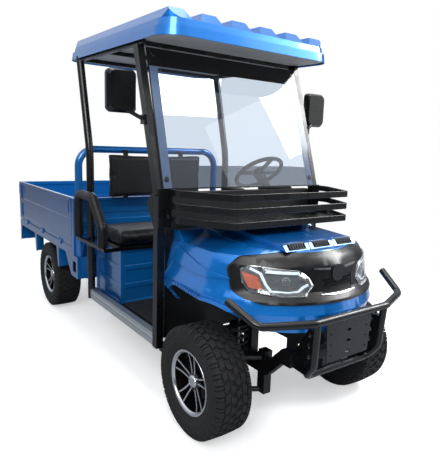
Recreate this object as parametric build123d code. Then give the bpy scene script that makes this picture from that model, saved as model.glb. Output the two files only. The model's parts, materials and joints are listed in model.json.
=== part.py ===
from build123d import *
from math import cos, pi, radians, sin
import os

os.makedirs("parts", exist_ok=True)

# Millimetres. The front axle stands at y = 0 while pieces are made, +Y points to the tail,
# +X to the driver's side, and the finished set is moved so that its box is centred over the origin.

# Cuts run past the faces that they open by this much
OVERRUN = 20.0

# Running gap between pieces that move, and the seat gap between curved pieces
RUN_GAP = 6.0
SEAT_GAP = 0.3

# Radial play of a pin or shaft in its bore
BORE_PLAY = 0.08

# Wheels and axles
WHEELBASE = 2420.0
TRACK_FRONT = 1072.0
TRACK_REAR = 1086.0
TYRE_R = 292.0
TYRE_W = 222.0
TYRE_TREAD_W = 186.0
TYRE_CROWN = 4.0
TYRE_SHOULDER = 26.0
BEAD_R = 158.0
BEAD_W = 168.0
RIM_FLANGE_R = 170.0
RIM_WALL = 7.0
RIM_FLANGE_W = 8.0
SPOKE_PAIRS = 5
SPOKE_W = 19.0
SPOKE_GAP = 13.0
SPOKE_T = 16.0
SPOKE_FACE = 62.0
HUB_R = 52.0
HUB_T = 24.0
HUB_CAP_R = 31.0
HUB_CAP_T = 16.0
SPINDLE_R = 16.0
DRUM_R = 98.0
DRUM_T = 54.0

# Steering knuckles
KINGPIN_INSET = 96.0
KNUCKLE_W = 46.0
KNUCKLE_D = 60.0
KNUCKLE_H = 150.0
KINGPIN_R = 11.0
STEER_ARM_L = 92.0
STEER_ARM_W = 22.0
STEER_ARM_T = 14.0

# Chassis frame
RAIL_X = 225.0
RAIL_W = 50.0
RAIL_H = 80.0
RAIL_Z = 300.0
RAIL_FRONT_Y = -340.0
NOSE_RAIL_Z = 412.0
NOSE_KICK_Y = -165.0
NOSE_KICK_RUN = 110.0
KICK_Y = 1560.0
KICK_RUN = 160.0
RAIL_REAR_Z = 500.0
FRAME_TAIL_Y = 3330.0
CROSS_W = 50.0
CROSS_H = 50.0

# Front suspension
ARM_R = 14.0
ARM_BASE = 250.0
ARM_BOSS_R = 24.0
ARM_BOSS_T = 30.0
ARM_PLATE_T = 12.0
ARM_PLATE_W = 60.0
COIL_R = 42.0
COIL_CORE_R = 20.0
COIL_TOP_Z = 590.0
COIL_TOP_X = 300.0
COIL_LOW_X = 325.0
COIL_TURNS = 6
COIL_WIRE_SHARE = 0.45
TOWER_W = 70.0
TOWER_T = 8.0

# Rear axle and leaf springs
AXLE_TUBE_R = 34.0
DIFF_R = 92.0
DIFF_W = 150.0
MOTOR_R = 88.0
MOTOR_L = 230.0
LEAF_X = 370.0
LEAF_W = 50.0
LEAF_T = 10.0
LEAF_COUNT = 3
LEAF_HALF = 520.0
LEAF_SAG = 90.0
SHACKLE_W = 60.0
SHACKLE_T = 10.0

# Cab floor and sills
FLOOR_Z = 385.0
FLOOR_T = 5.0
FLOOR_HALF = 560.0
FLOOR_FRONT_Y = 385.0
FLOOR_REAR_Y = 1520.0
MAT_T = 8.0
MAT_MARGIN = 40.0
SILL_IN_X = 572.0
SILL_OUT_X = 622.0
SILL_LOW = 343.0
SILL_TOP = 413.0
SILL_RIB = 5.0
SILL_RIBS = 4

# Pillars and roof rails
PILLAR_X = 600.0
PILLAR_W = 44.0
PILLAR_D = 50.0
PILLAR_FOOT_Z = 335.0
PILLAR_Y = 385.0
PILLAR_BEND_Z = 1200.0
GLASS_RAKE = 17.6
REAR_PILLAR_R = 27.0
REAR_PILLAR_Y = 1440.0
REAR_BEND_Z = 1420.0
REAR_TOP_Y = 1618.0

# Windshield
GLASS_T = 5.0
GLASS_TOP_HALF = 572.0
GLASS_LOW_HALF = 588.0
GLASS_LOW_Z = 1244.0
GLASS_H = 822.0

# Roof
ROOF_HALF = 622.0
ROOF_FRONT_Y = 300.0
ROOF_REAR_Y = 1850.0
ROOF_Z = 2046.0
ROOF_PITCH = 1.7
ROOF_BAND_H = 52.0
ROOF_TOP_H = 92.0
ROOF_BAND_IN = 8.0
ROOF_LEDGE = 11.0
ROOF_TOP_IN = 28.0
ROOF_CORNER = 135.0
ROOF_SKIN = 8.0
ROOF_RAIL = 26.0
ROOF_RAIL_RISE = 10.0
LINER_T = 5.0
ROOF_RIBS = 6
ROOF_RIB_PITCH = 205.0
ROOF_RIB_W = 152.0
ROOF_RIB_TOP_W = 92.0
ROOF_RIB_H = 56.0
ROOF_RIB_SLOPE = 44.0
ROOF_RIB_IN = 12.0

# Front body, as plan sections: height, half width, nose
NOSE_SECTIONS = [
    ("z", "half", "nose"),
    (612.0, 478.0, 436.0),
    (700.0, 560.0, 450.0),
    (762.0, 566.0, 424.0),
    (800.0, 548.0, 388.0),
    (925.0, 520.0, 372.0),
    (962.0, 500.0, 346.0),
    (1002.0, 360.0, 300.0),
    (1045.0, 318.0, 262.0),
]
NOSE_SIDE_Y = 0.0
BODY_SKIN = 7.0
HOOD_FRONT_Z = 990.0
HOOD_REAR_Z = 1030.0
HOOD_SPLIT_Z = 958.0
PANEL_RISE = 27.0
PANEL_FRONT_Y = -276.0
PANEL_SLOPE = 24.0
PANEL_GROOVE = 7.0
VENT_W = 124.0
VENT_D = 52.0
VENT_PITCH = 174.0
VENT_BARS = 8
VENT_BAR_T = 4.0
VENT_BASE_T = 3.0
LIP_OUT = 12.0
LIP_H = 18.0
SHOULDER_OUT = 9.0
SHOULDER_SIDE = [
    ("y", "z"),
    (352.0, 1000.0),
    (306.0, 945.0),
    (90.0, 892.0),
    (-150.0, 852.0),
    (90.0, 836.0),
    (352.0, 864.0),
]
COWL_FRONT_Y = 262.0
COWL_TOP_Y = 322.0
COWL_TOP_Z = 1018.0
COWL_HALF = 504.0
COWL_IN = 340.0
FENDER_SLOTS = 9
FENDER_SLOT_Y = 236.0
FENDER_SLOT_PITCH = 27.0
FENDER_SLOT_W = 9.0
FENDER_SLOT_LOW = 729.0
FENDER_SLOT_TOP = 754.0
ARCH_TOP_Z = 735.0
ARCH_MID_Z = 722.0
ARCH_LOW_Z = 600.0
ARCH_REAR_Y = 352.0
ARCH_BACK_Y = 200.0
ARCH_FRONT_Y = -286.0
ARCH_NOSE_Y = -168.0
ARCH_NOSE_Z = 692.0

# Front mask and lamps, in front view
MASK_T = 9.0
MASK_OUT = 482.0
MASK_LOW = 750.0
MASK_LOW_HALF = 400.0
MASK_TOP = 984.0
MASK_SIDE_LOW = 780.0
MASK_SIDE_TOP = 962.0
MASK_ROUND = 50.0
MASK_TOP_HALF = 262.0
MASK_CORNER = 50.0
LAMP_T = 16.0
LAMP_IN = 158.0
LAMP_OUT = 450.0
LAMP_BEND_X = 330.0
LAMP_LOW = 786.0
LAMP_LOW_END = 803.0
LAMP_TOP = 909.0
LAMP_TOP_END = 930.0
LAMP_TIP = 834.0
LAMP_SHOULDER = 876.0
LAMP_CORNER = 22.0
LAMP_ROUND = 9.0
BADGE_R = 43.0
BADGE_T = 8.0
BADGE_Z = 884.0
MESH_HALF = 108.0
MESH_LOW = 788.0
MESH_TOP = 874.0
MESH_CELL = 17.0
MESH_WALL = 4.0
MESH_DEPTH = 6.0

# Bull bar
BULL_R = 19.0
BULL_BEND_X = 266.0
BULL_Y = -497.0
BULL_Z = 699.0
HORN_X = 520.0
HORN_Y = -398.0
HORN_Z = 700.0
HORN_TIP_X = 576.0
HORN_TIP_Y = -237.0
HORN_TIP_Z = 786.0
BULL_BEND = 70.0
BULL_LOW_X = 232.0
BULL_LOW_Z = 404.0
BULL_LOW_Y = -425.0
LOOP_KNEE_X = 242.0
LOOP_KNEE_Y = -484.0
LOOP_KNEE_Z = 480.0
LOOP_BEND = 45.0
PLATE_HALF = 168.0
PLATE_LOW_HALF = 152.0
PLATE_TOP = 648.0
PLATE_LOW = 474.0
PLATE_T = 4.0
PLATE_Y = -482.0
PLATE_HOLE_R = 5.5
PLATE_HOLE_X = 130.0
SLOT_W = 13.0
SLOT_L = 30.0
SLOT_PITCH_Z = 55.0
SLOT_ROWS = 3
TAB_W = 40.0
TAB_T = 6.0
BRACKET_W = 54.0
BRACKET_HOLE_R = 12.0

# Front basket, as tiers of flat bar
BASKET_TIERS = 3
BASKET_TOP_Z = 1253.0
BASKET_PITCH = 71.0
BASKET_BAR_H = 36.0
BASKET_BAR_T = 6.0
BASKET_FRONT_Y = -72.0
BASKET_REAR_Y = 227.0
BASKET_BACK_Y = 352.0
BASKET_FRONT_HALF = 418.0
BASKET_REAR_HALF = 568.0
BASKET_CORNER = 34.0
BASKET_FLOOR_T = 3.0
BRACKET_T = 8.0
BRACKET_D = 60.0

# Dashboard, steering column and wheel
DASH_HALF = 556.0
DASH_DEEP = 236.0
DASH_LOW_Z = 1000.0
DASH_TOP_Z = 1226.0
DASH_FACE = 90.0
DASH_EDGE = 46.0
STEER_X = 316.0
STEER_Y = 640.0
STEER_Z = 1318.0
STEER_TILT = 38.0
STEER_R = 180.0
STEER_RIM = 14.0
STEER_SPOKE_W = 34.0
STEER_SPOKE_T = 10.0
STEER_HUB_R = 42.0
STEER_HUB_T = 36.0
COLUMN_R = 34.0
COLUMN_L = 236.0
PEDAL_W = 70.0
PEDAL_H = 110.0
PEDAL_T = 12.0
PEDAL_Y = 470.0
PEDAL_Z = 470.0
PEDAL_X = 250.0
PEDAL_PITCH = 130.0

# Mirrors
MIRROR_X = 742.0
MIRROR_Y = 560.0
MIRROR_Z = 1768.0
MIRROR_W = 172.0
MIRROR_H = 230.0
MIRROR_D = 48.0
MIRROR_CORNER = 30.0
MIRROR_TAPER = 26.0
MIRROR_GLASS_IN = 10.0
MIRROR_GLASS_T = 3.0
MIRROR_ARM_R = 11.0
MIRROR_ARM_Z = 1622.0
CLAMP_H = 52.0
CLAMP_T = 8.0

# Seat box, seat frame, cushions and hip restraints
BOX_HALF = 540.0
BOX_FRONT_Y = 1042.0
BOX_REAR_Y = 1500.0
BOX_TOP_Z = 768.0
BOX_WALL = 5.0
BOX_PRESS = 7.0
BOX_BORDER = 34.0
SEAT_RAIL_HALF = 664.0
SEAT_RAIL_FRONT_Y = 1028.0
SEAT_RAIL_REAR_Y = 1560.0
SEAT_RAIL_W = 28.0
SEAT_RAIL_H = 24.0
CUSHION_HALF = 552.0
CUSHION_FRONT_Y = 1052.0
CUSHION_DEPTH = 486.0
CUSHION_T = 94.0
CUSHION_TILT = 2.6
CUSHION_EDGE = 22.0
BACK_HALF = 412.0
BACK_LOW_Z = 1066.0
BACK_TOP_Z = 1414.0
BACK_T = 78.0
STRAP_X = 250.0
STRAP_W = 40.0
STRAP_T = 11.0
HIP_R = 34.0
HIP_GAP = 1.0
HIP_REAR_Y = 1530.0
HIP_TOP_Y = 1360.0
HIP_TOP_Z = 1120.0
HIP_FOOT_Z = 930.0
HIP_BEND = 120.0

# Cargo bed
BED_HALF = 655.0
BED_FRONT_Y = 1668.0
BED_REAR_Y = 3392.0
BED_FLOOR_TOP = 676.0
BED_FLOOR_T = 6.0
BED_DECK_RISE = 4.0
BED_DECK_MARGIN = 15.0
BED_RAIL_LOW = 612.0
BED_RAIL_W = 42.0
BED_CROSS_W = 60.0
BED_CROSSES = 6
GATE_TOP = 1067.0
GATE_T = 28.0
GATE_GAP = 8.0
GATE_WEB = 8.0
GATE_BORDER = 34.0
GATE_RIB_H = 44.0
POST_W = 58.0
POST_D = 44.0
HINGE_R = 7.0
HINGE_OUT = 9.0
HINGE_PIN_R = 4.0
HINGE_L = 72.0
HINGE_STRAP = 26.0
HINGES = 3
HOOP_X = 617.0
HOOP_Z = 1442.0
HOOP_R = 28.0
HOOP_BEND = 130.0
WALL_T = 24.0
WALL_TOP = 1063.0
WALL_RIBS = 4
WALL_RIB_H = 26.0
WALL_RIB_D = 9.0
SKIRT_T = 5.0
SKIRT_LOW = 447.0
SKIRT_FRONT_Y = 1590.0
SKIRT_TOP_REAR_Y = 1880.0
SKIRT_LOW_REAR_Y = 1740.0
SKIRT_HOLE_W = 74.0
SKIRT_HOLE_H = 84.0
HANGER_L = 62.0
HANGER_LOW = 440.0
HANGER_FRONT_Y = 2062.0
HANGER_REAR_Y = 2762.0
TAIL_PLATE_LOW = 444.0
TAIL_PLATE_D = 60.0

# Heavy mass under the seat
BATTERY_HALF = 330.0
BATTERY_D = 300.0
BATTERY_H = 230.0


def block(x0, x1, y0, y1, z0, z1):
    """A box between two corners."""
    size = Box(x1 - x0, y1 - y0, z1 - z0)
    return Pos((x0 + x1) / 2, (y0 + y1) / 2, (z0 + z1) / 2) * size


def rod(start, end, radius):
    """A round bar between two points."""
    line = Vector(*end) - Vector(*start)
    plane = Plane(origin=start, z_dir=line)
    return extrude(plane * Circle(radius), line.length)


def bent_bar(points, bend, radius):
    """A round bar along straight runs joined by tangent arcs."""
    path = FilletPolyline(*points, radius=bend)
    start = Plane(origin=path @ 0, z_dir=path % 0)
    return sweep(start * Circle(radius), path=path)


def side_profile(points, x0, x1):
    """An outline in the YZ plane, pulled along X."""
    face = make_face(Polyline(*[(0, y, z) for y, z in points], close=True))
    return Pos(x0, 0, 0) * extrude(face, x1 - x0, dir=(1, 0, 0))


def front_profile(points, y0, y1, corner=0):
    """An outline in the XZ plane, pulled along Y, with its corners rounded if a radius is given."""
    face = make_face(Polyline(*[(x, 0, z) for x, z in points], close=True))
    if corner:
        face = fillet(face.vertices(), corner)
    return Pos(0, y0, 0) * extrude(face, y1 - y0, dir=(0, 1, 0))


def both_sides(piece):
    """The piece and its mirror image across the middle plane."""
    return Compound(children=[*solids_of(piece), *solids_of(mirror(piece, about=Plane.YZ))])


def solids_of(shape):
    """The separate solids of a shape."""
    return list(shape.solids())


def several(*pieces):
    """Pieces that stay separate solids in one node."""
    return Compound(children=[s for piece in pieces for s in solids_of(piece)])


# Tyres and rims, made about the origin with the axle along X and the outer face to +X
def make_tyre():
    half = TYRE_W / 2
    tread = TYRE_TREAD_W / 2
    bead = BEAD_W / 2
    belly_r = (TYRE_R + BEAD_R) / 2
    shoulder_r = TYRE_R - TYRE_SHOULDER
    lip = bead + RIM_FLANGE_W
    lip_r = RIM_FLANGE_R + SEAT_GAP
    with BuildSketch() as section:
        with BuildLine():
            crown = ThreePointArc((-tread, TYRE_R - TYRE_CROWN), (0, TYRE_R), (tread, TYRE_R - TYRE_CROWN))
            right = Line(crown @ 1, (half - TYRE_CROWN, shoulder_r))
            wall = ThreePointArc(right @ 1, (half, belly_r), (lip, lip_r))
            bed = Polyline(
                wall @ 1, (bead, lip_r), (bead, BEAD_R), (-bead, BEAD_R), (-bead, lip_r), (-lip, lip_r),
            )
            far = ThreePointArc(bed @ 1, (-half, belly_r), (TYRE_CROWN - half, shoulder_r))
            Line(far @ 1, crown @ 0)
        make_face()
    return revolve(section.sketch, axis=Axis.X)


def make_rim():
    half = BEAD_W / 2
    seat = BEAD_R - SEAT_GAP
    well = seat - RIM_WALL
    flange = half + SEAT_GAP
    edge = flange + RIM_FLANGE_W
    outline = [
        (-edge, well), (edge, well), (edge, RIM_FLANGE_R), (flange, RIM_FLANGE_R), (flange, seat),
        (-flange, seat), (-flange, RIM_FLANGE_R), (-edge, RIM_FLANGE_R),
    ]
    barrel = revolve(make_face(Polyline(*outline, close=True)), axis=Axis.X)
    bore = SPINDLE_R + BORE_PLAY
    hub = Pos(SPOKE_FACE - HUB_T / 2, 0, 0) * Rot(0, 90, 0) * Cylinder(HUB_R, HUB_T)
    cap = Pos(SPOKE_FACE + HUB_CAP_T / 2, 0, 0) * Rot(0, 90, 0) * Cone(
        HUB_CAP_R, HUB_CAP_R - RIM_WALL, HUB_CAP_T,
    )
    wheel = barrel + hub + cap
    reach = well + RIM_WALL / 2
    root = HUB_R / 2
    offset = (SPOKE_W + SPOKE_GAP) / 2
    spoke = block(SPOKE_FACE - SPOKE_T, SPOKE_FACE, -SPOKE_W / 2, SPOKE_W / 2, root, reach)
    for number in range(SPOKE_PAIRS):
        turn = Rot(360 * number / SPOKE_PAIRS, 0, 0)
        for side in (-offset, offset):
            wheel += turn * Pos(0, side, 0) * spoke
    socket = Pos(SPOKE_FACE - HUB_T, 0, 0) * Rot(0, 90, 0) * Cylinder(bore, HUB_T)
    return wheel - socket


# Steering knuckle for the right-hand side of the drawing, with its axle along +X from the kingpin
def make_knuckle():
    upright = block(
        -KNUCKLE_W / 2, KNUCKLE_W / 2, -KNUCKLE_D / 2, KNUCKLE_D / 2, -KNUCKLE_H / 2, KNUCKLE_H / 2,
    )
    face = KINGPIN_INSET + SPOKE_FACE - HUB_T
    drum_out = face - RUN_GAP
    drum = Pos(drum_out - DRUM_T / 2, 0, 0) * Rot(0, 90, 0) * Cylinder(DRUM_R, DRUM_T)
    spindle = rod((0, 0, 0), (face + HUB_T / 2 - SEAT_GAP, 0, 0), SPINDLE_R)
    arm = block(
        -STEER_ARM_W / 2, STEER_ARM_W / 2, 0, KNUCKLE_D / 2 + STEER_ARM_L, -STEER_ARM_T / 2,
        STEER_ARM_T / 2,
    )
    knuckle = upright + drum + spindle + arm
    pin_hole = Cylinder(KINGPIN_R + BORE_PLAY, KNUCKLE_H + OVERRUN)
    return knuckle - pin_hole


def rail_z(y):
    """Underside of a frame rail at a place along the cart."""
    if y <= NOSE_KICK_Y - NOSE_KICK_RUN:
        return NOSE_RAIL_Z
    if y <= KICK_Y:
        return RAIL_Z
    if y >= KICK_Y + KICK_RUN:
        return RAIL_REAR_Z
    return RAIL_Z + (RAIL_REAR_Z - RAIL_Z) * (y - KICK_Y) / KICK_RUN


def make_frame():
    kick_end = KICK_Y + KICK_RUN
    outline = [
        (RAIL_FRONT_Y, NOSE_RAIL_Z), (NOSE_KICK_Y - NOSE_KICK_RUN, NOSE_RAIL_Z), (NOSE_KICK_Y, RAIL_Z),
        (KICK_Y, RAIL_Z), (kick_end, RAIL_REAR_Z), (FRAME_TAIL_Y, RAIL_REAR_Z),
        (FRAME_TAIL_Y, RAIL_REAR_Z + RAIL_H), (kick_end, RAIL_REAR_Z + RAIL_H), (KICK_Y, RAIL_Z + RAIL_H),
        (NOSE_KICK_Y, RAIL_Z + RAIL_H), (NOSE_KICK_Y - NOSE_KICK_RUN, NOSE_RAIL_Z + RAIL_H),
        (RAIL_FRONT_Y, NOSE_RAIL_Z + RAIL_H),
    ]
    rail = side_profile(outline, RAIL_X - RAIL_W / 2, RAIL_X + RAIL_W / 2)
    frame = rail + mirror(rail, about=Plane.YZ)
    crosses = [RAIL_FRONT_Y, FLOOR_FRONT_Y, BOX_FRONT_Y, REAR_PILLAR_Y, BED_FRONT_Y, WHEELBASE - LEAF_HALF]
    crosses += [WHEELBASE + LEAF_HALF, FRAME_TAIL_Y - CROSS_W]
    for y in crosses:
        low = max(rail_z(y), rail_z(y + CROSS_W))
        frame += block(-RAIL_X, RAIL_X, y, y + CROSS_W, low, low + CROSS_H)
    reach = PILLAR_X - PILLAR_W / 2
    rear_reach = PILLAR_X - REAR_PILLAR_R - SEAT_GAP
    for y, out in ((PILLAR_Y, reach), (REAR_PILLAR_Y, rear_reach)):
        frame += block(-out, out, y - CROSS_W / 2, y + CROSS_W / 2, RAIL_Z, RAIL_Z + CROSS_H)
    for side in (-1, 1):
        tower_in = side * (RAIL_X - RAIL_W / 2)
        tower_out = side * (COIL_TOP_X + COIL_R)
        top = COIL_TOP_Z + TOWER_T
        frame += block(
            min(tower_in, tower_out), max(tower_in, tower_out), -TOWER_W / 2, TOWER_W / 2, COIL_TOP_Z, top,
        )
        leg = side * RAIL_X
        frame += block(leg - RAIL_W / 2, leg + RAIL_W / 2, -TOWER_W / 2, TOWER_W / 2, RAIL_Z, top)
        drop = TYRE_R - KNUCKLE_H / 2 - ARM_BOSS_T - SEAT_GAP
        rise = TYRE_R + KNUCKLE_H / 2 + 2 * ARM_BOSS_T
        for way in (-1, 1):
            mid = way * ARM_BASE / 2
            frame += block(leg - RAIL_W / 2, leg + RAIL_W / 2, mid - ARM_R * 2, mid + ARM_R * 2, drop, rise)
    return frame


def make_front_suspension():
    pieces = []
    for side in (-1, 1):
        pin_x = side * (TRACK_FRONT / 2 - KINGPIN_INSET)
        low = TYRE_R - KNUCKLE_H / 2 - ARM_BOSS_T - SEAT_GAP
        top = TYRE_R + KNUCKLE_H / 2 + SEAT_GAP
        boss = Pos(pin_x, 0, low + ARM_BOSS_T / 2) * Cylinder(ARM_BOSS_R, ARM_BOSS_T)
        cap = Pos(pin_x, 0, top + ARM_BOSS_T / 2) * Cylinder(ARM_BOSS_R, ARM_BOSS_T)
        pin = Pos(pin_x, 0, (low + top + ARM_BOSS_T) / 2) * Cylinder(KINGPIN_R, top + ARM_BOSS_T - low)
        carrier = boss + cap + pin
        for z in (low + ARM_BOSS_T / 2, top + ARM_BOSS_T / 2):
            for way in (-1, 1):
                carrier += rod((pin_x, 0, z), (side * RAIL_X, way * ARM_BASE / 2, z), ARM_R)
        seat = low + ARM_BOSS_T / 2 + ARM_R
        carrier += block(
            side * COIL_LOW_X - ARM_PLATE_W / 2, side * COIL_LOW_X + ARM_PLATE_W / 2, -ARM_PLATE_W,
            ARM_PLATE_W,
            seat - ARM_PLATE_T / 2, seat + ARM_PLATE_T / 2,
        )
        rail = block(-RAIL_X - RAIL_W / 2, RAIL_X + RAIL_W / 2, -ARM_BASE, ARM_BASE, 0, BOX_TOP_Z)
        pieces.append(carrier - rail)
    return several(*pieces)


def make_springs():
    pieces = []
    for side in (-1, 1):
        low = TYRE_R - KNUCKLE_H / 2 - SEAT_GAP - ARM_BOSS_T / 2 + ARM_R + ARM_PLATE_T / 2
        lean = (COIL_LOW_X - COIL_TOP_X) / (COIL_TOP_Z - low)
        foot = Vector(side * COIL_LOW_X, 0, low + COIL_CORE_R * lean + SEAT_GAP)
        top = Vector(side * COIL_TOP_X, 0, COIL_TOP_Z - COIL_CORE_R * lean - SEAT_GAP)
        run = top - foot
        strut = rod(tuple(foot), tuple(top), COIL_CORE_R)
        for turn in range(COIL_TURNS):
            centre = foot + run * ((turn + 1) / (COIL_TURNS + 1))
            plane = Plane(origin=centre, z_dir=run)
            height = run.length / (COIL_TURNS + 1) * COIL_WIRE_SHARE
            strut += extrude(plane * Circle(COIL_R), height)
        pieces.append(strut)
    return several(*pieces)


def make_rear_axle():
    reach = TRACK_REAR / 2 + SPOKE_FACE - HUB_T - RUN_GAP
    tube = rod((-reach, 0, 0), (reach, 0, 0), AXLE_TUBE_R)
    diff = Rot(0, 90, 0) * Cylinder(DIFF_R, DIFF_W)
    motor = rod((-DIFF_W / 2, 0, 0), (-DIFF_W / 2 - MOTOR_L, 0, 0), MOTOR_R)
    axle = tube + diff + motor
    tip = TRACK_REAR / 2 + SPOKE_FACE - HUB_T / 2 - SEAT_GAP
    for side in (-1, 1):
        start = side * reach
        axle += rod((start, 0, 0), (start - side * DRUM_T, 0, 0), DRUM_R)
        axle += rod((start, 0, 0), (side * tip, 0, 0), SPINDLE_R)
    return Pos(0, WHEELBASE, TYRE_R) * axle


def make_leaf_springs():
    """Flat leaves that rest on the axle and run up to shackles under the rails."""
    pieces = []
    seat = TYRE_R + AXLE_TUBE_R
    for side in (-1, 1):
        x0 = side * LEAF_X - LEAF_W / 2
        x1 = side * LEAF_X + LEAF_W / 2
        pack = None
        for number in range(LEAF_COUNT):
            half = LEAF_HALF * (LEAF_COUNT - number) / LEAF_COUNT
            low = seat + (LEAF_COUNT - 1 - number) * LEAF_T
            rise = LEAF_SAG * (half / LEAF_HALF) ** 2
            line = ThreePointArc((0, -half, low + rise), (0, 0, low), (0, half, low + rise))
            over = ThreePointArc(
                (0, half, low + rise + LEAF_T), (0, 0, low + LEAF_T), (0, -half, low + rise + LEAF_T),
            )
            ends = [Line(line @ 1, over @ 0), Line(over @ 1, line @ 0)]
            face = make_face([line, ends[0], over, ends[1]])
            leaf = Pos(x0, WHEELBASE, 0) * extrude(face, x1 - x0, dir=(1, 0, 0))
            pack = leaf if pack is None else pack + leaf
        top = RAIL_REAR_Z + RAIL_H
        for way in (-1, 1):
            y = WHEELBASE + way * (LEAF_HALF - SHACKLE_W / 2)
            inner = side * (RAIL_X + RAIL_W / 2)
            outer = side * (LEAF_X + LEAF_W / 2)
            low = seat + (LEAF_COUNT - 1) * LEAF_T + LEAF_T
            pack += block(x0, x1, y - SHACKLE_T, y + SHACKLE_T, low + LEAF_SAG / 2, top - SHACKLE_T)
            left = min(inner, outer)
            pack += block(
                left, max(inner, outer), y - SHACKLE_T, y + SHACKLE_T, top - SHACKLE_T * 2, top - SHACKLE_T,
            )
        pieces.append(pack)
    return several(*pieces)


def make_floor():
    floor = block(-FLOOR_HALF, FLOOR_HALF, FLOOR_FRONT_Y, FLOOR_REAR_Y, FLOOR_Z - FLOOR_T, FLOOR_Z)
    toe = block(
        -FLOOR_HALF, FLOOR_HALF, FLOOR_FRONT_Y, FLOOR_FRONT_Y + FLOOR_T, FLOOR_Z - FLOOR_T, DASH_LOW_Z,
    )
    return floor + toe


def make_mat():
    half = FLOOR_HALF - MAT_MARGIN
    start = FLOOR_FRONT_Y + FLOOR_T
    return block(-half, half, start, BOX_FRONT_Y - SEAT_GAP, FLOOR_Z, FLOOR_Z + MAT_T)


def make_sills():
    start = PILLAR_Y + PILLAR_D / 2
    stop = REAR_PILLAR_Y - REAR_PILLAR_R - SEAT_GAP
    sill = block(SILL_IN_X, SILL_OUT_X - SILL_RIB, start, stop, SILL_LOW, SILL_TOP)
    pitch = (SILL_TOP - SILL_LOW) / SILL_RIBS
    for number in range(SILL_RIBS):
        low = SILL_LOW + number * pitch
        sill += block(SILL_OUT_X - SILL_RIB, SILL_OUT_X, start, stop, low, low + pitch / 2)
    sill += block(FLOOR_HALF, SILL_IN_X, start, stop, SILL_LOW, FLOOR_Z)
    return both_sides(sill)


def on_roof(piece):
    """Tips a piece that is made level, with the roof's lower edge at z = 0, to the roof's pitch."""
    return Pos(0, ROOF_FRONT_Y, ROOF_Z) * Rot(ROOF_PITCH, 0, 0) * Pos(0, -ROOF_FRONT_Y, 0) * piece


def over_rails():
    """What lies above the underside of the roof rails."""
    low = ROOF_RAIL_RISE - ROOF_RAIL
    return on_roof(block(-ROOF_HALF, ROOF_HALF, 0, ROOF_REAR_Y, low, ROOF_Z))


def pillar_point(z):
    """Centre line of a front pillar above its bend."""
    return PILLAR_Y + (z - PILLAR_BEND_Z) * sin(radians(GLASS_RAKE)) / cos(radians(GLASS_RAKE))


def make_front_pillars():
    half = PILLAR_D / 2
    top_z = ROOF_Z + ROOF_RAIL
    top_y = pillar_point(top_z)
    lean = half / cos(radians(GLASS_RAKE))
    outline = [
        (PILLAR_Y - half, PILLAR_FOOT_Z), (PILLAR_Y + half, PILLAR_FOOT_Z),
        (PILLAR_Y + half, PILLAR_BEND_Z),
        (top_y + lean, top_z), (top_y - lean, top_z), (PILLAR_Y - half, PILLAR_BEND_Z),
    ]
    pillar = side_profile(outline, PILLAR_X - PILLAR_W / 2, PILLAR_X + PILLAR_W / 2)
    return both_sides(pillar - over_rails())


def make_rear_pillars():
    points = [
        (PILLAR_X, REAR_PILLAR_Y, PILLAR_FOOT_Z), (PILLAR_X, REAR_PILLAR_Y, REAR_BEND_Z),
        (PILLAR_X, REAR_TOP_Y, ROOF_Z + 2 * ROOF_RAIL),
    ]
    pillar = bent_bar(points, REAR_BEND_Z - BOX_TOP_Z, REAR_PILLAR_R)
    return both_sides(pillar - over_rails())


def make_roof_rails():
    half = ROOF_RAIL / 2
    low = ROOF_RAIL_RISE - ROOF_RAIL
    top = ROOF_RAIL_RISE
    front_y = pillar_point(ROOF_Z)
    rail_x = PILLAR_X - half
    rails = None
    for x in (-rail_x, rail_x):
        rail = block(x - half, x + half, front_y - PILLAR_D, REAR_TOP_Y + PILLAR_D, low, top)
        rails = rail if rails is None else rails + rail
    for y in (front_y, (front_y + REAR_TOP_Y) / 2, REAR_TOP_Y):
        rails += block(-rail_x, rail_x, y - half, y + half, low, top)
    return on_roof(rails)


def make_liner():
    """Flat ceiling between the roof rails and the roof skin."""
    level = roof_inside(SEAT_GAP)
    return on_roof(
        level & block(-ROOF_HALF, ROOF_HALF, 0, ROOF_REAR_Y, ROOF_RAIL_RISE, ROOF_RAIL_RISE + LINER_T)
    )


def roof_slab(inset, low, high, inset_low, inset_high):
    """A tapering slab of the roof, between two heights, with rounded plan corners."""
    faces = []
    for height, grow in ((low, inset_low), (high, inset_high)):
        width = 2 * (ROOF_HALF - inset - grow)
        length = ROOF_REAR_Y - ROOF_FRONT_Y - 2 * (inset + grow)
        corner = max(ROOF_CORNER - inset - grow, ROOF_CORNER / 4)
        faces.append(
            Pos(0, (ROOF_FRONT_Y + ROOF_REAR_Y) / 2, height) * RectangleRounded(width, length, corner)
        )
    return loft(faces)


def roof_inside(gap):
    """The hollow under the roof skin, less a gap."""
    inset = ROOF_SKIN + gap
    ledge = ROOF_BAND_IN + ROOF_LEDGE
    hollow = roof_slab(inset, 0, ROOF_BAND_H - ROOF_SKIN, 0, ROOF_BAND_IN)
    return hollow + roof_slab(inset, ROOF_BAND_H - ROOF_SKIN, ROOF_TOP_H - ROOF_SKIN, ledge, ROOF_TOP_IN)


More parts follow.
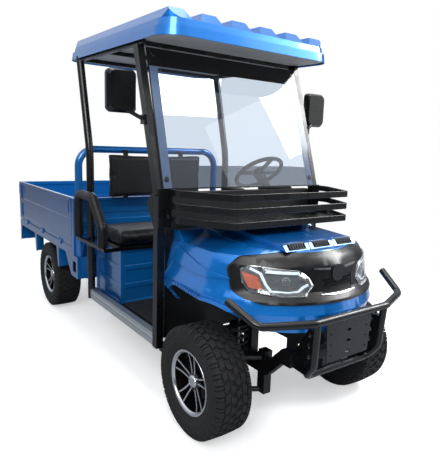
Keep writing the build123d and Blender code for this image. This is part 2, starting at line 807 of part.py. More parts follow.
def make_roof():
    outer = roof_slab(0, 0, ROOF_BAND_H, 0, ROOF_BAND_IN)
    outer += roof_slab(0, ROOF_BAND_H, ROOF_TOP_H, ROOF_BAND_IN + ROOF_LEDGE, ROOF_TOP_IN)
    middle = (ROOF_FRONT_Y + ROOF_REAR_Y) / 2
    length = ROOF_REAR_Y - ROOF_FRONT_Y - 2 * (ROOF_TOP_IN + ROOF_RIB_IN)
    wide = 2 * (ROOF_HALF - ROOF_TOP_IN)
    top = Pos(0, middle, ROOF_TOP_H) * RectangleRounded(wide, length, ROOF_CORNER - ROOF_TOP_IN)
    crown = extrude(top, ROOF_RIB_H)
    for number in range(ROOF_RIBS):
        x = (number - (ROOF_RIBS - 1) / 2) * ROOF_RIB_PITCH
        low_face = Pos(x, middle, ROOF_TOP_H) * Rectangle(ROOF_RIB_W, length)
        high_face = Pos(x, middle, ROOF_TOP_H + ROOF_RIB_H) * Rectangle(
            ROOF_RIB_TOP_W, length - 2 * ROOF_RIB_SLOPE,
        )
        outer += loft([low_face, high_face]) & crown
    return on_roof(outer - roof_inside(0))


def make_windshield():
    points = [
        (-GLASS_LOW_HALF, 0), (GLASS_LOW_HALF, 0), (GLASS_TOP_HALF, GLASS_H), (-GLASS_TOP_HALF, GLASS_H),
    ]
    pane = front_profile(points, -GLASS_T, 0)
    front = pillar_point(GLASS_LOW_Z) - PILLAR_D / 2 / cos(radians(GLASS_RAKE)) - SEAT_GAP
    return Pos(0, front, GLASS_LOW_Z) * Rot(-GLASS_RAKE, 0, 0) * pane


def nose_loft(grow):
    """The front body between plan sections, each a rounded nose with straight flanks."""
    faces = []
    for z, half, nose in NOSE_SECTIONS[1:]:
        side = half + grow
        tip = -nose - grow
        with BuildSketch(Plane.XY.offset(z)) as plan:
            with BuildLine():
                arc = ThreePointArc((-side, NOSE_SIDE_Y), (0, tip), (side, NOSE_SIDE_Y))
                left = Line(arc @ 1, (side, FLOOR_FRONT_Y))
                back = Line(left @ 1, (-side, FLOOR_FRONT_Y))
                Line(back @ 1, arc @ 0)
            make_face()
        faces.append(plan.sketch.faces()[0])
    return loft(faces, ruled=True)


def wheel_arch(grow=0):
    """Opening over a front wheel, in side view, or the same grown by a lip."""
    with BuildSketch(Plane.YZ) as opening:
        with BuildLine():
            rear = ThreePointArc(
                (ARCH_REAR_Y, ARCH_LOW_Z),
                (ARCH_REAR_Y - BASKET_CORNER, (ARCH_LOW_Z + ARCH_TOP_Z) / 2 + BASKET_CORNER),
                (ARCH_BACK_Y, ARCH_TOP_Z),
            )
            top = Line(rear @ 1, (0, ARCH_MID_Z))
            front = ThreePointArc(top @ 1, (ARCH_NOSE_Y, ARCH_NOSE_Z), (ARCH_FRONT_Y, ARCH_LOW_Z))
            Line(front @ 1, rear @ 0)
        make_face()
        if grow:
            offset(amount=grow)
    return extrude(opening.sketch, 2 * SILL_OUT_X, both=True)


def hood_z(y):
    """Height of the hood beside its raised panels."""
    share = (y - PANEL_FRONT_Y) / (FLOOR_FRONT_Y - PANEL_FRONT_Y)
    return HOOD_FRONT_Z + (HOOD_REAR_Z - HOOD_FRONT_Z) * share


def above_hood(rise):
    """What lies above the sloping top of the hood, raised by some height."""
    front = -SILL_OUT_X
    rear = FLOOR_FRONT_Y + OVERRUN
    high = HOOD_REAR_Z * 2
    outline = [(front, hood_z(front) + rise), (rear, hood_z(rear) + rise), (rear, high), (front, high)]
    return side_profile(outline, front, -front)


def make_front_body():
    skin = nose_loft(0) - nose_loft(-BODY_SKIN)
    shell = skin - wheel_arch()
    skin_out = nose_loft(LIP_OUT) - nose_loft(-BODY_SKIN / 2)
    low = NOSE_SECTIONS[1][0]
    ahead = block(-SILL_OUT_X, SILL_OUT_X, -SILL_OUT_X, ARCH_NOSE_Y, low, low + LIP_H)
    behind = block(-SILL_OUT_X, SILL_OUT_X, -SILL_OUT_X, FLOOR_FRONT_Y, 0, low + BODY_SKIN)
    flare = wheel_arch(LIP_H) - behind
    shell += skin_out & ((flare + ahead) - wheel_arch())
    raised = nose_loft(SHOULDER_OUT) - nose_loft(-BODY_SKIN / 2)
    shell += raised & side_profile(SHOULDER_SIDE[1:], -SILL_OUT_X, SILL_OUT_X)
    slots = []
    for number in range(FENDER_SLOTS):
        y = FENDER_SLOT_Y - number * FENDER_SLOT_PITCH
        slot = block(
            -SILL_OUT_X, SILL_OUT_X, y - FENDER_SLOT_W / 2, y + FENDER_SLOT_W / 2, FENDER_SLOT_LOW,
            FENDER_SLOT_TOP,
        )
        slots.append(slot)
    shell -= slots
    top = HOOD_REAR_Z * 2
    shell -= block(-SILL_OUT_X, SILL_OUT_X, -SILL_OUT_X, FLOOR_FRONT_Y + OVERRUN, HOOD_SPLIT_Z, top)
    riser = [
        (COWL_FRONT_Y, HOOD_SPLIT_Z), (COWL_TOP_Y, COWL_TOP_Z), (FLOOR_FRONT_Y, COWL_TOP_Z),
        (FLOOR_FRONT_Y, HOOD_SPLIT_Z),
    ]
    for side in (-1, 1):
        edge = side * COWL_HALF
        inner = side * COWL_IN
        horn = side_profile(riser, min(edge, inner), max(edge, inner))
        shell += horn - nose_loft(SEAT_GAP)
        foot = block(
            min(edge, inner), max(edge, inner), COWL_FRONT_Y, FLOOR_FRONT_Y, HOOD_SPLIT_Z - BODY_SKIN * 2,
            HOOD_SPLIT_Z,
        )
        shell += foot & nose_loft(SHOULDER_OUT) - nose_loft(-BODY_SKIN)
    return shell - (nose_front(mask_outline(-SEAT_GAP), MASK_ROUND) - nose_loft(0))


def make_hood():
    form = nose_loft(0)
    below = block(-SILL_OUT_X, SILL_OUT_X, -SILL_OUT_X, FLOOR_FRONT_Y + OVERRUN, 0, HOOD_SPLIT_Z + SEAT_GAP)
    inner = nose_loft(-BODY_SKIN) - above_hood(-BODY_SKIN)
    hood = form - below - above_hood(0) - inner
    for number in (-1, 0, 1):
        x = number * VENT_PITCH
        half = (VENT_PITCH - PANEL_GROOVE) / 2
        front = PANEL_FRONT_Y
        rear = FLOOR_FRONT_Y
        outline = [
            (front, hood_z(front)), (front + PANEL_SLOPE, hood_z(front + PANEL_SLOPE) + PANEL_RISE),
            (rear, hood_z(rear) + PANEL_RISE), (rear, hood_z(rear)),
        ]
        panel = side_profile(outline, x - half, x + half)
        low = hood_z(front + VENT_D)
        hood += panel - block(
            x - VENT_W / 2, x + VENT_W / 2, front - OVERRUN, front + VENT_D, low, low + 2 * PANEL_RISE,
        )
    return hood


def make_vents():
    """Black louvres that stand in the mouths of the raised panels."""
    pieces = []
    front = PANEL_FRONT_Y
    low = hood_z(front + VENT_D)
    high = hood_z(front + PANEL_SLOPE) + PANEL_RISE
    start = front + VENT_BASE_T
    outline = [
        (start, low), (start, low + VENT_BASE_T), (front + PANEL_SLOPE, high), (front + VENT_D, high),
        (front + VENT_D, low),
    ]
    for number in (-1, 0, 1):
        x = number * VENT_PITCH
        half = VENT_W / 2 - SEAT_GAP
        vent = block(x - half, x + half, start, front + VENT_D, low, low + VENT_BASE_T)
        vent += block(x - half, x + half, front + VENT_D - VENT_BASE_T, front + VENT_D, low, high)
        for bar in range(VENT_BARS):
            bar_x = x - half + VENT_BAR_T / 2 + bar * (2 * half - VENT_BAR_T) / (VENT_BARS - 1)
            vent += side_profile(outline, bar_x - VENT_BAR_T / 2, bar_x + VENT_BAR_T / 2)
        pieces.append(vent)
    return several(*pieces)


def mask_outline(grow):
    """Front view of the mask, for one width of border."""
    out = MASK_OUT - grow
    return [
        (-out, MASK_SIDE_LOW + grow), (-MASK_LOW_HALF, MASK_LOW + grow), (MASK_LOW_HALF, MASK_LOW + grow),
        (out, MASK_SIDE_LOW + grow), (out, MASK_SIDE_TOP - MASK_CORNER - grow),
        (out - MASK_CORNER, MASK_SIDE_TOP - grow),
        (MASK_TOP_HALF, MASK_TOP - grow), (-MASK_TOP_HALF, MASK_TOP - grow),
        (MASK_CORNER - out, MASK_SIDE_TOP - grow),
        (-out, MASK_SIDE_TOP - MASK_CORNER - grow),
    ]


def lamp_outline(grow):
    """Front view of the lamp on +X."""
    return [
        (LAMP_IN - grow, LAMP_TIP), (LAMP_IN + LAMP_CORNER * 2, LAMP_LOW - grow),
        (LAMP_BEND_X, LAMP_LOW - grow),
        (LAMP_OUT - LAMP_CORNER, LAMP_LOW_END - grow), (LAMP_OUT + grow, LAMP_LOW_END + LAMP_CORNER * 2),
        (LAMP_OUT + grow, LAMP_TOP_END - LAMP_CORNER),
        (LAMP_OUT - LAMP_CORNER * 3 / 2, LAMP_TOP_END + grow),
        (LAMP_IN + LAMP_CORNER * 3, LAMP_TOP + grow), (LAMP_IN + LAMP_CORNER, LAMP_SHOULDER + grow),
    ]


def nose_front(outline, corner=0):
    """An outline in front view, pulled through the nose alone."""
    return front_profile(outline, -SILL_OUT_X, NOSE_SIDE_Y + OVERRUN, corner)


def make_mask():
    skin = nose_loft(MASK_T) - nose_loft(SEAT_GAP)
    mask = skin & nose_front(mask_outline(0), MASK_ROUND)
    for side in (-1, 1):
        lamp = [(side * x, z) for x, z in lamp_outline(SEAT_GAP)]
        mask -= nose_front(lamp, LAMP_ROUND)
    mesh = block(-MESH_HALF, MESH_HALF, -SILL_OUT_X, NOSE_SIDE_Y, MESH_LOW, MESH_TOP)
    mask -= mesh & nose_loft(MASK_T + OVERRUN)
    mask += grille_mesh()
    tip = NOSE_SECTIONS[5][2]
    face = -tip - MASK_T
    badge = Pos(0, face, BADGE_Z) * Rot(90, 0, 0) * Cylinder(BADGE_R, BADGE_T + MASK_T)
    return mask + (badge - nose_loft(SEAT_GAP))


def grille_mesh():
    """Honeycomb between the lamps, cut through a plate that follows the nose."""
    plate = nose_loft(MESH_DEPTH) - nose_loft(SEAT_GAP)
    frame = [(-MESH_HALF - MESH_WALL, MESH_LOW - MESH_WALL), (MESH_HALF + MESH_WALL, MESH_LOW - MESH_WALL)]
    frame += [(MESH_HALF + MESH_WALL, MESH_TOP + MESH_WALL), (-MESH_HALF - MESH_WALL, MESH_TOP + MESH_WALL)]
    plate = plate & nose_front(frame)
    rise = MESH_CELL * cos(pi / 6)
    rows = int((MESH_TOP - MESH_LOW) / rise)
    count = int(2 * MESH_HALF / MESH_CELL)
    cell = Rot(90, 0, 0) * extrude(
        RegularPolygon((MESH_CELL - MESH_WALL) / 2, 6, major_radius=False, rotation=30), SILL_OUT_X,
    )
    holes = []
    for row in range(rows):
        shift = MESH_CELL / 2 if row % 2 else 0
        for column in range(count - row % 2):
            x = (column + 1 / 2) * MESH_CELL + shift - count * MESH_CELL / 2
            z = MESH_LOW + (row + 1 / 2) * rise
            holes.append(Pos(x, 0, z) * cell)
    return plate - holes


def make_lamps():
    skin = nose_loft(LAMP_T) - nose_loft(SEAT_GAP)
    lamp = skin & nose_front(lamp_outline(0), LAMP_ROUND)
    return both_sides(lamp)


def make_bull_bar():
    upper = [
        (HORN_TIP_X, HORN_TIP_Y, HORN_TIP_Z), (HORN_X, HORN_Y, HORN_Z), (BULL_BEND_X, BULL_Y, BULL_Z),
        (-BULL_BEND_X, BULL_Y, BULL_Z), (-HORN_X, HORN_Y, HORN_Z), (-HORN_TIP_X, HORN_TIP_Y, HORN_TIP_Z),
    ]
    bar = bent_bar(upper, BULL_BEND, BULL_R)
    lower = [
        (BULL_BEND_X - BULL_R, BULL_Y, BULL_Z), (LOOP_KNEE_X, LOOP_KNEE_Y, LOOP_KNEE_Z),
        (BULL_LOW_X, BULL_LOW_Y, BULL_LOW_Z), (-BULL_LOW_X, BULL_LOW_Y, BULL_LOW_Z),
        (-LOOP_KNEE_X, LOOP_KNEE_Y, LOOP_KNEE_Z), (BULL_R - BULL_BEND_X, BULL_Y, BULL_Z),
    ]
    bar += bent_bar(lower, LOOP_BEND, BULL_R)
    points = [
        (-PLATE_LOW_HALF, PLATE_LOW), (PLATE_LOW_HALF, PLATE_LOW), (PLATE_HALF, BULL_Z),
        (-PLATE_HALF, BULL_Z),
    ]
    plate = front_profile(points, PLATE_Y - PLATE_T / 2, PLATE_Y + PLATE_T / 2)
    middle = (PLATE_LOW + PLATE_TOP) / 2
    bore = Rot(90, 0, 0) * Cylinder(PLATE_HOLE_R, OVERRUN)
    slot = Rot(90, 0, 0) * extrude(SlotOverall(SLOT_L, SLOT_W), OVERRUN, both=True)
    holes = []
    for row in range(SLOT_ROWS):
        z = middle + (row - (SLOT_ROWS - 1) / 2) * SLOT_PITCH_Z
        holes.append(Pos(0, PLATE_Y, z) * slot)
        for x in (-PLATE_HOLE_X, PLATE_HOLE_X):
            holes.append(Pos(x, PLATE_Y, z) * bore)
    bar += plate - holes
    for x in (-PLATE_HOLE_X, PLATE_HOLE_X):
        bar += block(x - TAB_W / 2, x + TAB_W / 2, BULL_Y, -NOSE_SECTIONS[2][2], BULL_Z - TAB_T, BULL_Z)
    outline = [
        (PLATE_Y, LOOP_KNEE_Z), (BULL_LOW_Y, BULL_LOW_Z), (RAIL_FRONT_Y, NOSE_RAIL_Z),
        (RAIL_FRONT_Y, NOSE_RAIL_Z + RAIL_H),
        (PLATE_Y + BRACKET_W, PLATE_TOP), (PLATE_Y, PLATE_TOP),
    ]
    bore = Rot(0, 90, 0) * Cylinder(BRACKET_HOLE_R, OVERRUN)
    for side in (-1, 1):
        x = side * RAIL_X
        bracket = side_profile(outline, x - TAB_T / 2, x + TAB_T / 2)
        for row in range(SLOT_ROWS):
            z = middle + (row - (SLOT_ROWS - 1) / 2) * SLOT_PITCH_Z
            bracket -= Pos(x, PLATE_Y + BRACKET_W - BRACKET_HOLE_R, z) * bore
        bar += bracket
    return bar


def basket_plan(grow):
    """Plan of a basket tier, open to the back."""
    front = BASKET_FRONT_Y - grow
    wide = BASKET_REAR_HALF + grow
    narrow = BASKET_FRONT_HALF + grow
    face = make_face(
        Polyline(
            (-wide, BASKET_BACK_Y), (-wide, BASKET_REAR_Y), (-narrow, front), (narrow, front),
            (wide, BASKET_REAR_Y),
            (wide, BASKET_BACK_Y), close=True,
        )
    )
    corners = [v for v in face.vertices() if v.Y < BASKET_BACK_Y - BASKET_CORNER]
    return fillet(corners, BASKET_CORNER + grow)


def make_basket():
    basket = None
    for number in range(BASKET_TIERS):
        top = BASKET_TOP_Z - number * BASKET_PITCH
        ring = basket_plan(0) - basket_plan(-BASKET_BAR_T)
        tier = Pos(0, 0, top - BASKET_BAR_H) * extrude(ring, BASKET_BAR_H)
        basket = tier if basket is None else basket + tier
    low = BASKET_TOP_Z - (BASKET_TIERS - 1) * BASKET_PITCH - BASKET_BAR_H
    basket += Pos(0, 0, low) * extrude(basket_plan(0), BASKET_FLOOR_T)
    for side in (-1, 1):
        outer = side * (PILLAR_X + PILLAR_W / 2)
        inner = side * (BASKET_REAR_HALF - BASKET_BAR_T)
        x0 = min(outer, inner)
        x1 = max(outer, inner)
        back = PILLAR_Y - PILLAR_D / 2
        basket += block(x0, x1, back - BRACKET_T, back, low - BASKET_BAR_H, BASKET_TOP_Z)
        x2 = side * BASKET_REAR_HALF
        wall0 = min(x2, x2 - side * BASKET_BAR_T)
        basket += block(
            wall0, wall0 + BASKET_BAR_T, back - BRACKET_D, back, low - BASKET_BAR_H, BASKET_TOP_Z,
        )
    return basket


def make_dashboard():
    start = FLOOR_FRONT_Y
    outline = [
        (start, DASH_LOW_Z), (start + DASH_DEEP - DASH_FACE, DASH_LOW_Z),
        (start + DASH_DEEP, DASH_TOP_Z - DASH_FACE),
        (start + DASH_DEEP - DASH_EDGE, DASH_TOP_Z - DASH_EDGE / 2), (start + DASH_EDGE, DASH_TOP_Z),
        (start, DASH_TOP_Z),
    ]
    return side_profile(outline, -DASH_HALF, DASH_HALF)


def on_column(piece):
    """Sets a piece made about Z on the steering axis."""
    return Pos(STEER_X, STEER_Y, STEER_Z) * Rot(-STEER_TILT, 0, 0) * piece


def make_column():
    shaft = Pos(0, 0, -RUN_GAP - STEER_HUB_T / 2 - COLUMN_L / 2) * Cylinder(COLUMN_R, COLUMN_L)
    pin = Pos(0, 0, -RUN_GAP - STEER_HUB_T / 2) * Cylinder(SPINDLE_R / 2, STEER_HUB_T)
    return on_column(shaft + pin) - make_dashboard()


def make_steering_wheel():
    rim = Torus(STEER_R - STEER_RIM, STEER_RIM)
    hub = Cylinder(STEER_HUB_R, STEER_HUB_T)
    wheel = rim + hub
    reach = STEER_R - STEER_RIM
    for angle in (0, 180, 270):
        spoke = block(
            0, reach, -STEER_SPOKE_W / 2, STEER_SPOKE_W / 2, -STEER_SPOKE_T / 2, STEER_SPOKE_T / 2,
        )
        wheel += Rot(0, 0, angle) * spoke
    socket = Pos(0, 0, -STEER_HUB_T / 2) * Cylinder(SPINDLE_R / 2 + BORE_PLAY, STEER_HUB_T)
    return on_column(wheel - socket)


def make_pedals():
    pieces = []
    for number in (0, 1):
        x = PEDAL_X + number * PEDAL_PITCH
        pad = Pos(x, PEDAL_Y, PEDAL_Z) * Rot(-STEER_TILT, 0, 0) * Box(PEDAL_W, PEDAL_T, PEDAL_H)
        arm = rod((x, PEDAL_Y, PEDAL_Z), (x, FLOOR_FRONT_Y + FLOOR_T, PEDAL_Z + PEDAL_H), PEDAL_T / 2)
        pieces.append(pad + arm - make_floor())
    return several(*pieces)


def make_mirrors():
    half = PILLAR_W / 2
    faces = []
    for depth, less in ((-MIRROR_D / 2, 0), (0, 0), (MIRROR_D / 2, MIRROR_TAPER)):
        faces.append(Pos(0, 0, depth) * RectangleRounded(MIRROR_W - less, MIRROR_H - less, MIRROR_CORNER))
    glass = RectangleRounded(
        MIRROR_W - 2 * MIRROR_GLASS_IN, MIRROR_H - 2 * MIRROR_GLASS_IN, MIRROR_CORNER - MIRROR_GLASS_IN,
    )
    shell = loft(faces, ruled=True) - Pos(0, 0, -MIRROR_D / 2) * extrude(glass, MIRROR_GLASS_T)
    housing = Pos(MIRROR_X, MIRROR_Y, MIRROR_Z) * Rot(90, 0, 0) * shell
    arm_y = pillar_point(MIRROR_ARM_Z)
    clamp_x = PILLAR_X + half
    clamp = block(
        clamp_x, clamp_x + CLAMP_T * 2, arm_y - PILLAR_D / 2, arm_y + PILLAR_D / 2,
        MIRROR_ARM_Z - CLAMP_H / 2, MIRROR_ARM_Z + CLAMP_H / 2,
    )
    low = MIRROR_Z - MIRROR_H / 2 + MIRROR_CORNER
    arm = rod((clamp_x + CLAMP_T, arm_y, MIRROR_ARM_Z), (MIRROR_X, MIRROR_Y, low), MIRROR_ARM_R)
    return both_sides(housing + clamp + arm)


def make_seat_box():
    outer = block(-BOX_HALF, BOX_HALF, BOX_FRONT_Y, BOX_REAR_Y, FLOOR_Z, BOX_TOP_Z)
    inner = block(
        BOX_PRESS + BOX_WALL - BOX_HALF, BOX_HALF - BOX_PRESS - BOX_WALL,
        BOX_FRONT_Y + BOX_PRESS + BOX_WALL,
        BOX_REAR_Y - BOX_WALL, FLOOR_Z, BOX_TOP_Z - BOX_WALL,
    )
    box = outer - inner
    high = (BOX_TOP_Z - FLOOR_Z) / 3
    for row in range(3):
        low = FLOOR_Z + row * high + BOX_BORDER / 2
        top = FLOOR_Z + (row + 1) * high - BOX_BORDER / 2
        box -= block(
            BOX_BORDER - BOX_HALF, BOX_HALF - BOX_BORDER, BOX_FRONT_Y, BOX_FRONT_Y + BOX_PRESS, low, top,
        )
        for side in (-1, 1):
            face = side * BOX_HALF
            x0 = min(face, face - side * BOX_PRESS)
            box -= block(x0, x0 + BOX_PRESS, BOX_FRONT_Y + BOX_BORDER, BOX_REAR_Y - BOX_BORDER, low, top)
    return box


def make_seat_frame():
    low = BOX_TOP_Z
    top = BOX_TOP_Z + SEAT_RAIL_H
    rail = SEAT_RAIL_W
    front = block(-SEAT_RAIL_HALF, SEAT_RAIL_HALF, SEAT_RAIL_FRONT_Y, SEAT_RAIL_FRONT_Y + rail, low, top)
    back = block(-BOX_HALF, BOX_HALF, SEAT_RAIL_REAR_Y - 2 * rail, SEAT_RAIL_REAR_Y - rail, low, top)
    frame = front + back
    for side in (-1, 1):
        outer = side * SEAT_RAIL_HALF
        x0 = min(outer, outer - side * rail)
        frame += block(x0, x0 + rail, SEAT_RAIL_FRONT_Y, SEAT_RAIL_REAR_Y, low, top)
        inner = side * (BOX_HALF - rail)
        x1 = min(inner, inner + side * rail)
        frame += block(x1, x1 + rail, SEAT_RAIL_FRONT_Y, SEAT_RAIL_REAR_Y - rail, low, top)
    return frame


def make_cushion():
    slab = Box(2 * CUSHION_HALF, CUSHION_DEPTH, CUSHION_T, align=(Align.CENTER, Align.MIN, Align.MIN))
    slab = fillet(slab.edges().filter_by(Axis.Z), CUSHION_EDGE)
    slab = fillet(slab.faces().sort_by(Axis.Z)[-1].edges(), CUSHION_EDGE)
    rise = CUSHION_DEPTH * sin(radians(CUSHION_TILT))
    base = BOX_TOP_Z + SEAT_RAIL_H
    floor = block(-CUSHION_HALF, CUSHION_HALF, 0, CUSHION_DEPTH, -rise, base)
    return (
        Pos(0, CUSHION_FRONT_Y, base + rise / 4) * Rot(-CUSHION_TILT, 0, 0) * slab
    ) - Pos(0, CUSHION_FRONT_Y, 0) * floor


def back_rear():
    """Back face of the backrest, where its straps run down from the hoop."""
    return BED_FRONT_Y - 2 * HOOP_R - 2 * SEAT_GAP - STRAP_T


def make_backrest():
    slab = Box(2 * BACK_HALF, BACK_T, BACK_TOP_Z - BACK_LOW_Z)
    slab = fillet(slab.faces().sort_by(Axis.Y)[0].edges(), CUSHION_EDGE)
    return Pos(0, back_rear() - BACK_T / 2, (BACK_LOW_Z + BACK_TOP_Z) / 2) * slab


def make_straps():
    start = back_rear()
    pieces = []
    for side in (-1, 1):
        x = side * STRAP_X
        pieces.append(block(x - STRAP_W / 2, x + STRAP_W / 2, start, start + STRAP_T, BACK_LOW_Z, HOOP_Z))
    return pieces


def make_hips():
    top = BOX_TOP_Z + SEAT_RAIL_H + SEAT_GAP
    x = PILLAR_X + REAR_PILLAR_R + HIP_GAP + HIP_R
    front = SEAT_RAIL_FRONT_Y + HIP_R
    points = [
        (x, HIP_REAR_Y, top), (x, HIP_REAR_Y, HIP_TOP_Z), (x, HIP_TOP_Y - HIP_BEND, HIP_TOP_Z),
        (x, front, HIP_FOOT_Z), (x, front, top),
    ]
    return both_sides(bent_bar(points, HIP_R * 2, HIP_R))


def gate_panel(length):
    """A pressed gate panel, along X, with its foot at z = 0 and its outer face at y = 0."""
    height = GATE_TOP - BED_FLOOR_TOP - GATE_GAP
    panel = block(-length / 2, length / 2, 0, GATE_T, 0, height)
    depth = (GATE_T - GATE_WEB) / 2
    middle = height / 2
    for low, top in (
        (GATE_BORDER, middle - GATE_RIB_H / 2), (middle + GATE_RIB_H / 2, height - GATE_BORDER),
    ):
        for y0 in (0, GATE_T - depth):
            panel -= block(GATE_BORDER - length / 2, length / 2 - GATE_BORDER, y0, y0 + depth, low, top)
    return panel


def hinge_places(length):
    """Middles of the hinges along a gate."""
    return [length * ((number + 1 / 2) / HINGES - 1 / 2) for number in range(HINGES)]


def gate_hinges(length):
    """Hinge eyes of a gate, on its outer foot, along X."""
    eyes = None
    foot = -GATE_GAP / 2
    for x in hinge_places(length):
        for way in (-1, 1):
            middle = x + way * HINGE_L / 3
            half = HINGE_L / 6 - SEAT_GAP
            eye = rod((middle - half, -HINGE_OUT, foot), (middle + half, -HINGE_OUT, foot), HINGE_R)
            eye += block(middle - half, middle + half, -HINGE_OUT, 0, foot, foot + HINGE_STRAP)
            eye -= rod(
                (middle - HINGE_L, -HINGE_OUT, foot), (middle + HINGE_L, -HINGE_OUT, foot),
                HINGE_PIN_R + BORE_PLAY,
            )
            eyes = eye if eyes is None else eyes + eye
    return eyes


def bed_hinges(length):
    """Hinge pins and their middle eyes, on the bed rail, in the same place as the eyes of a gate."""
    pins = None
    foot = -GATE_GAP / 2
    for x in hinge_places(length):
        half = HINGE_L / 6
        pin = rod((x - HINGE_L / 2, -HINGE_OUT, foot), (x + HINGE_L / 2, -HINGE_OUT, foot), HINGE_PIN_R)
        pin += rod((x - half, -HINGE_OUT, foot), (x + half, -HINGE_OUT, foot), HINGE_R)
        pin += block(x - half, x + half, -HINGE_OUT, 0, foot - HINGE_STRAP, foot)
        pins = pin if pins is None else pins + pin
    return pins


def side_gate_span():
    """Ends of a side gate along the bed."""
    return BED_FRONT_Y + POST_D + GATE_GAP, BED_REAR_Y - GATE_T - GATE_GAP


def on_right_side(piece):
    """Sets a gate piece made along X on the right-hand side of the bed."""
    start, stop = side_gate_span()
    return Pos(-BED_HALF, (start + stop) / 2, BED_FLOOR_TOP + GATE_GAP) * Rot(0, 0, -90) * piece


def on_tail(piece):
    """Sets a gate piece made along X across the tail of the bed."""
    return Pos(0, BED_REAR_Y, BED_FLOOR_TOP + GATE_GAP) * Rot(0, 0, 180) * piece


def make_gate_right():
    """The gate on -X, whose outer face looks to -X."""
    start, stop = side_gate_span()
    return on_right_side(gate_panel(stop - start) + gate_hinges(stop - start))


def make_tailgate():
    return on_tail(gate_panel(2 * BED_HALF) + gate_hinges(2 * BED_HALF))


def make_bed():
    low = BED_RAIL_LOW
    top = BED_FLOOR_TOP
    front = BED_FRONT_Y
    bed = block(-BED_HALF, BED_HALF, front, BED_REAR_Y, top - BED_FLOOR_T, top)
    for side in (-1, 1):
        outer = side * BED_HALF
        x0 = min(outer, outer - side * BED_RAIL_W)
        bed += block(x0, x0 + BED_RAIL_W, front, BED_REAR_Y, low, top)
    bed += block(-BED_HALF, BED_HALF, front, front + BED_RAIL_W, low, top)
    bed += block(-BED_HALF, BED_HALF, BED_REAR_Y - BED_RAIL_W, BED_REAR_Y, low, top)
    span = BED_REAR_Y - front
    for number in range(BED_CROSSES):
        y = front + span * (number + 1) / (BED_CROSSES + 1)
        bed += block(-BED_HALF, BED_HALF, y - BED_CROSS_W / 2, y + BED_CROSS_W / 2, low, top)
    frame_top = RAIL_REAR_Z + RAIL_H
    for side in (-1, 1):
        x = side * RAIL_X
        bed += block(
            x - RAIL_W / 2, x + RAIL_W / 2, front, BED_REAR_Y - BED_RAIL_W, frame_top, top - BED_FLOOR_T,
        )
    start, stop = side_gate_span()
    deck = BED_HALF - GATE_T - BED_DECK_MARGIN
    bed += block(-deck, deck, start, stop - BED_DECK_MARGIN, top, top + BED_DECK_RISE)
    side_pins = on_right_side(bed_hinges(stop - start))
    return bed + side_pins + mirror(side_pins, about=Plane.YZ) + on_tail(bed_hinges(2 * BED_HALF))


def make_bed_skirts():
    """Folded plates under the bed: front skirts with a window, two hangers and a tail plate a side."""
    outer = BED_HALF
    thick = SKIRT_T
    outline = [
        (SKIRT_FRONT_Y, BED_RAIL_LOW), (SKIRT_FRONT_Y, SKIRT_LOW), (SKIRT_LOW_REAR_Y, SKIRT_LOW),
        (SKIRT_TOP_REAR_Y, BED_RAIL_LOW),
    ]
    plate = side_profile(outline, outer - thick, outer)
    hole_y = SKIRT_FRONT_Y + (SKIRT_LOW_REAR_Y - SKIRT_FRONT_Y) / 2
    hole_z = (SKIRT_LOW + BED_RAIL_LOW) / 2
    plate -= block(
        outer - thick, outer, hole_y - SKIRT_HOLE_W / 2, hole_y + SKIRT_HOLE_W / 2,
        hole_z - SKIRT_HOLE_H / 2, hole_z + SKIRT_HOLE_H / 2,
    )
    plate += block(outer - POST_W * 2, outer, SKIRT_FRONT_Y, SKIRT_FRONT_Y + thick, SKIRT_LOW, BED_RAIL_LOW)
    plate += block(
        outer - POST_W * 2, outer, SKIRT_FRONT_Y, BED_FRONT_Y, BED_RAIL_LOW, BED_RAIL_LOW + thick,
    )
    pieces = [plate]
    for y in (HANGER_FRONT_Y, HANGER_REAR_Y):
        shape = [
            (y, BED_RAIL_LOW), (y, HANGER_LOW), (y + HANGER_L / 2, HANGER_LOW),
            (y + HANGER_L, BED_RAIL_LOW),
        ]
        pieces.append(side_profile(shape, outer - thick, outer))
    rear = BED_REAR_Y
    shape = [
        (rear - TAIL_PLATE_D, BED_RAIL_LOW), (rear - thick, TAIL_PLATE_LOW), (rear, TAIL_PLATE_LOW),
        (rear, BED_RAIL_LOW),
    ]
    pieces.append(side_profile(shape, outer - thick, outer))
    return both_sides(several(*pieces))


def make_bed_front():
    """Front wall of the bed with pressed ribs, and the corner posts."""
    base = BED_FLOOR_TOP
    half = BED_HALF - POST_W
    wall = block(-half, half, BED_FRONT_Y, BED_FRONT_Y + WALL_T, base, WALL_TOP)
    span = WALL_TOP - base
    for number in range(WALL_RIBS):
        z = base + span * (number + 1 / 2) / WALL_RIBS
        wall -= block(-half, half, BED_FRONT_Y, BED_FRONT_Y + WALL_RIB_D, z - WALL_RIB_H, z + WALL_RIB_H)
    for side in (-1, 1):
        outer = side * BED_HALF
        x0 = min(outer, outer - side * POST_W)
        wall += block(x0, x0 + POST_W, BED_FRONT_Y, BED_FRONT_Y + POST_D, base, GATE_TOP)
    return wall


def make_hoop():
    foot = BED_RAIL_LOW + SKIRT_T
    y = BED_FRONT_Y - HOOP_R - SEAT_GAP
    points = [(HOOP_X, y, foot), (HOOP_X, y, HOOP_Z), (-HOOP_X, y, HOOP_Z), (-HOOP_X, y, foot)]
    return bent_bar(points, HOOP_BEND, HOOP_R)


def make_battery():
    middle = (BOX_FRONT_Y + BOX_REAR_Y) / 2
    return block(
        -BATTERY_HALF, BATTERY_HALF, middle - BATTERY_D / 2, middle + BATTERY_D / 2, FLOOR_Z,
        FLOOR_Z + BATTERY_H,
    )


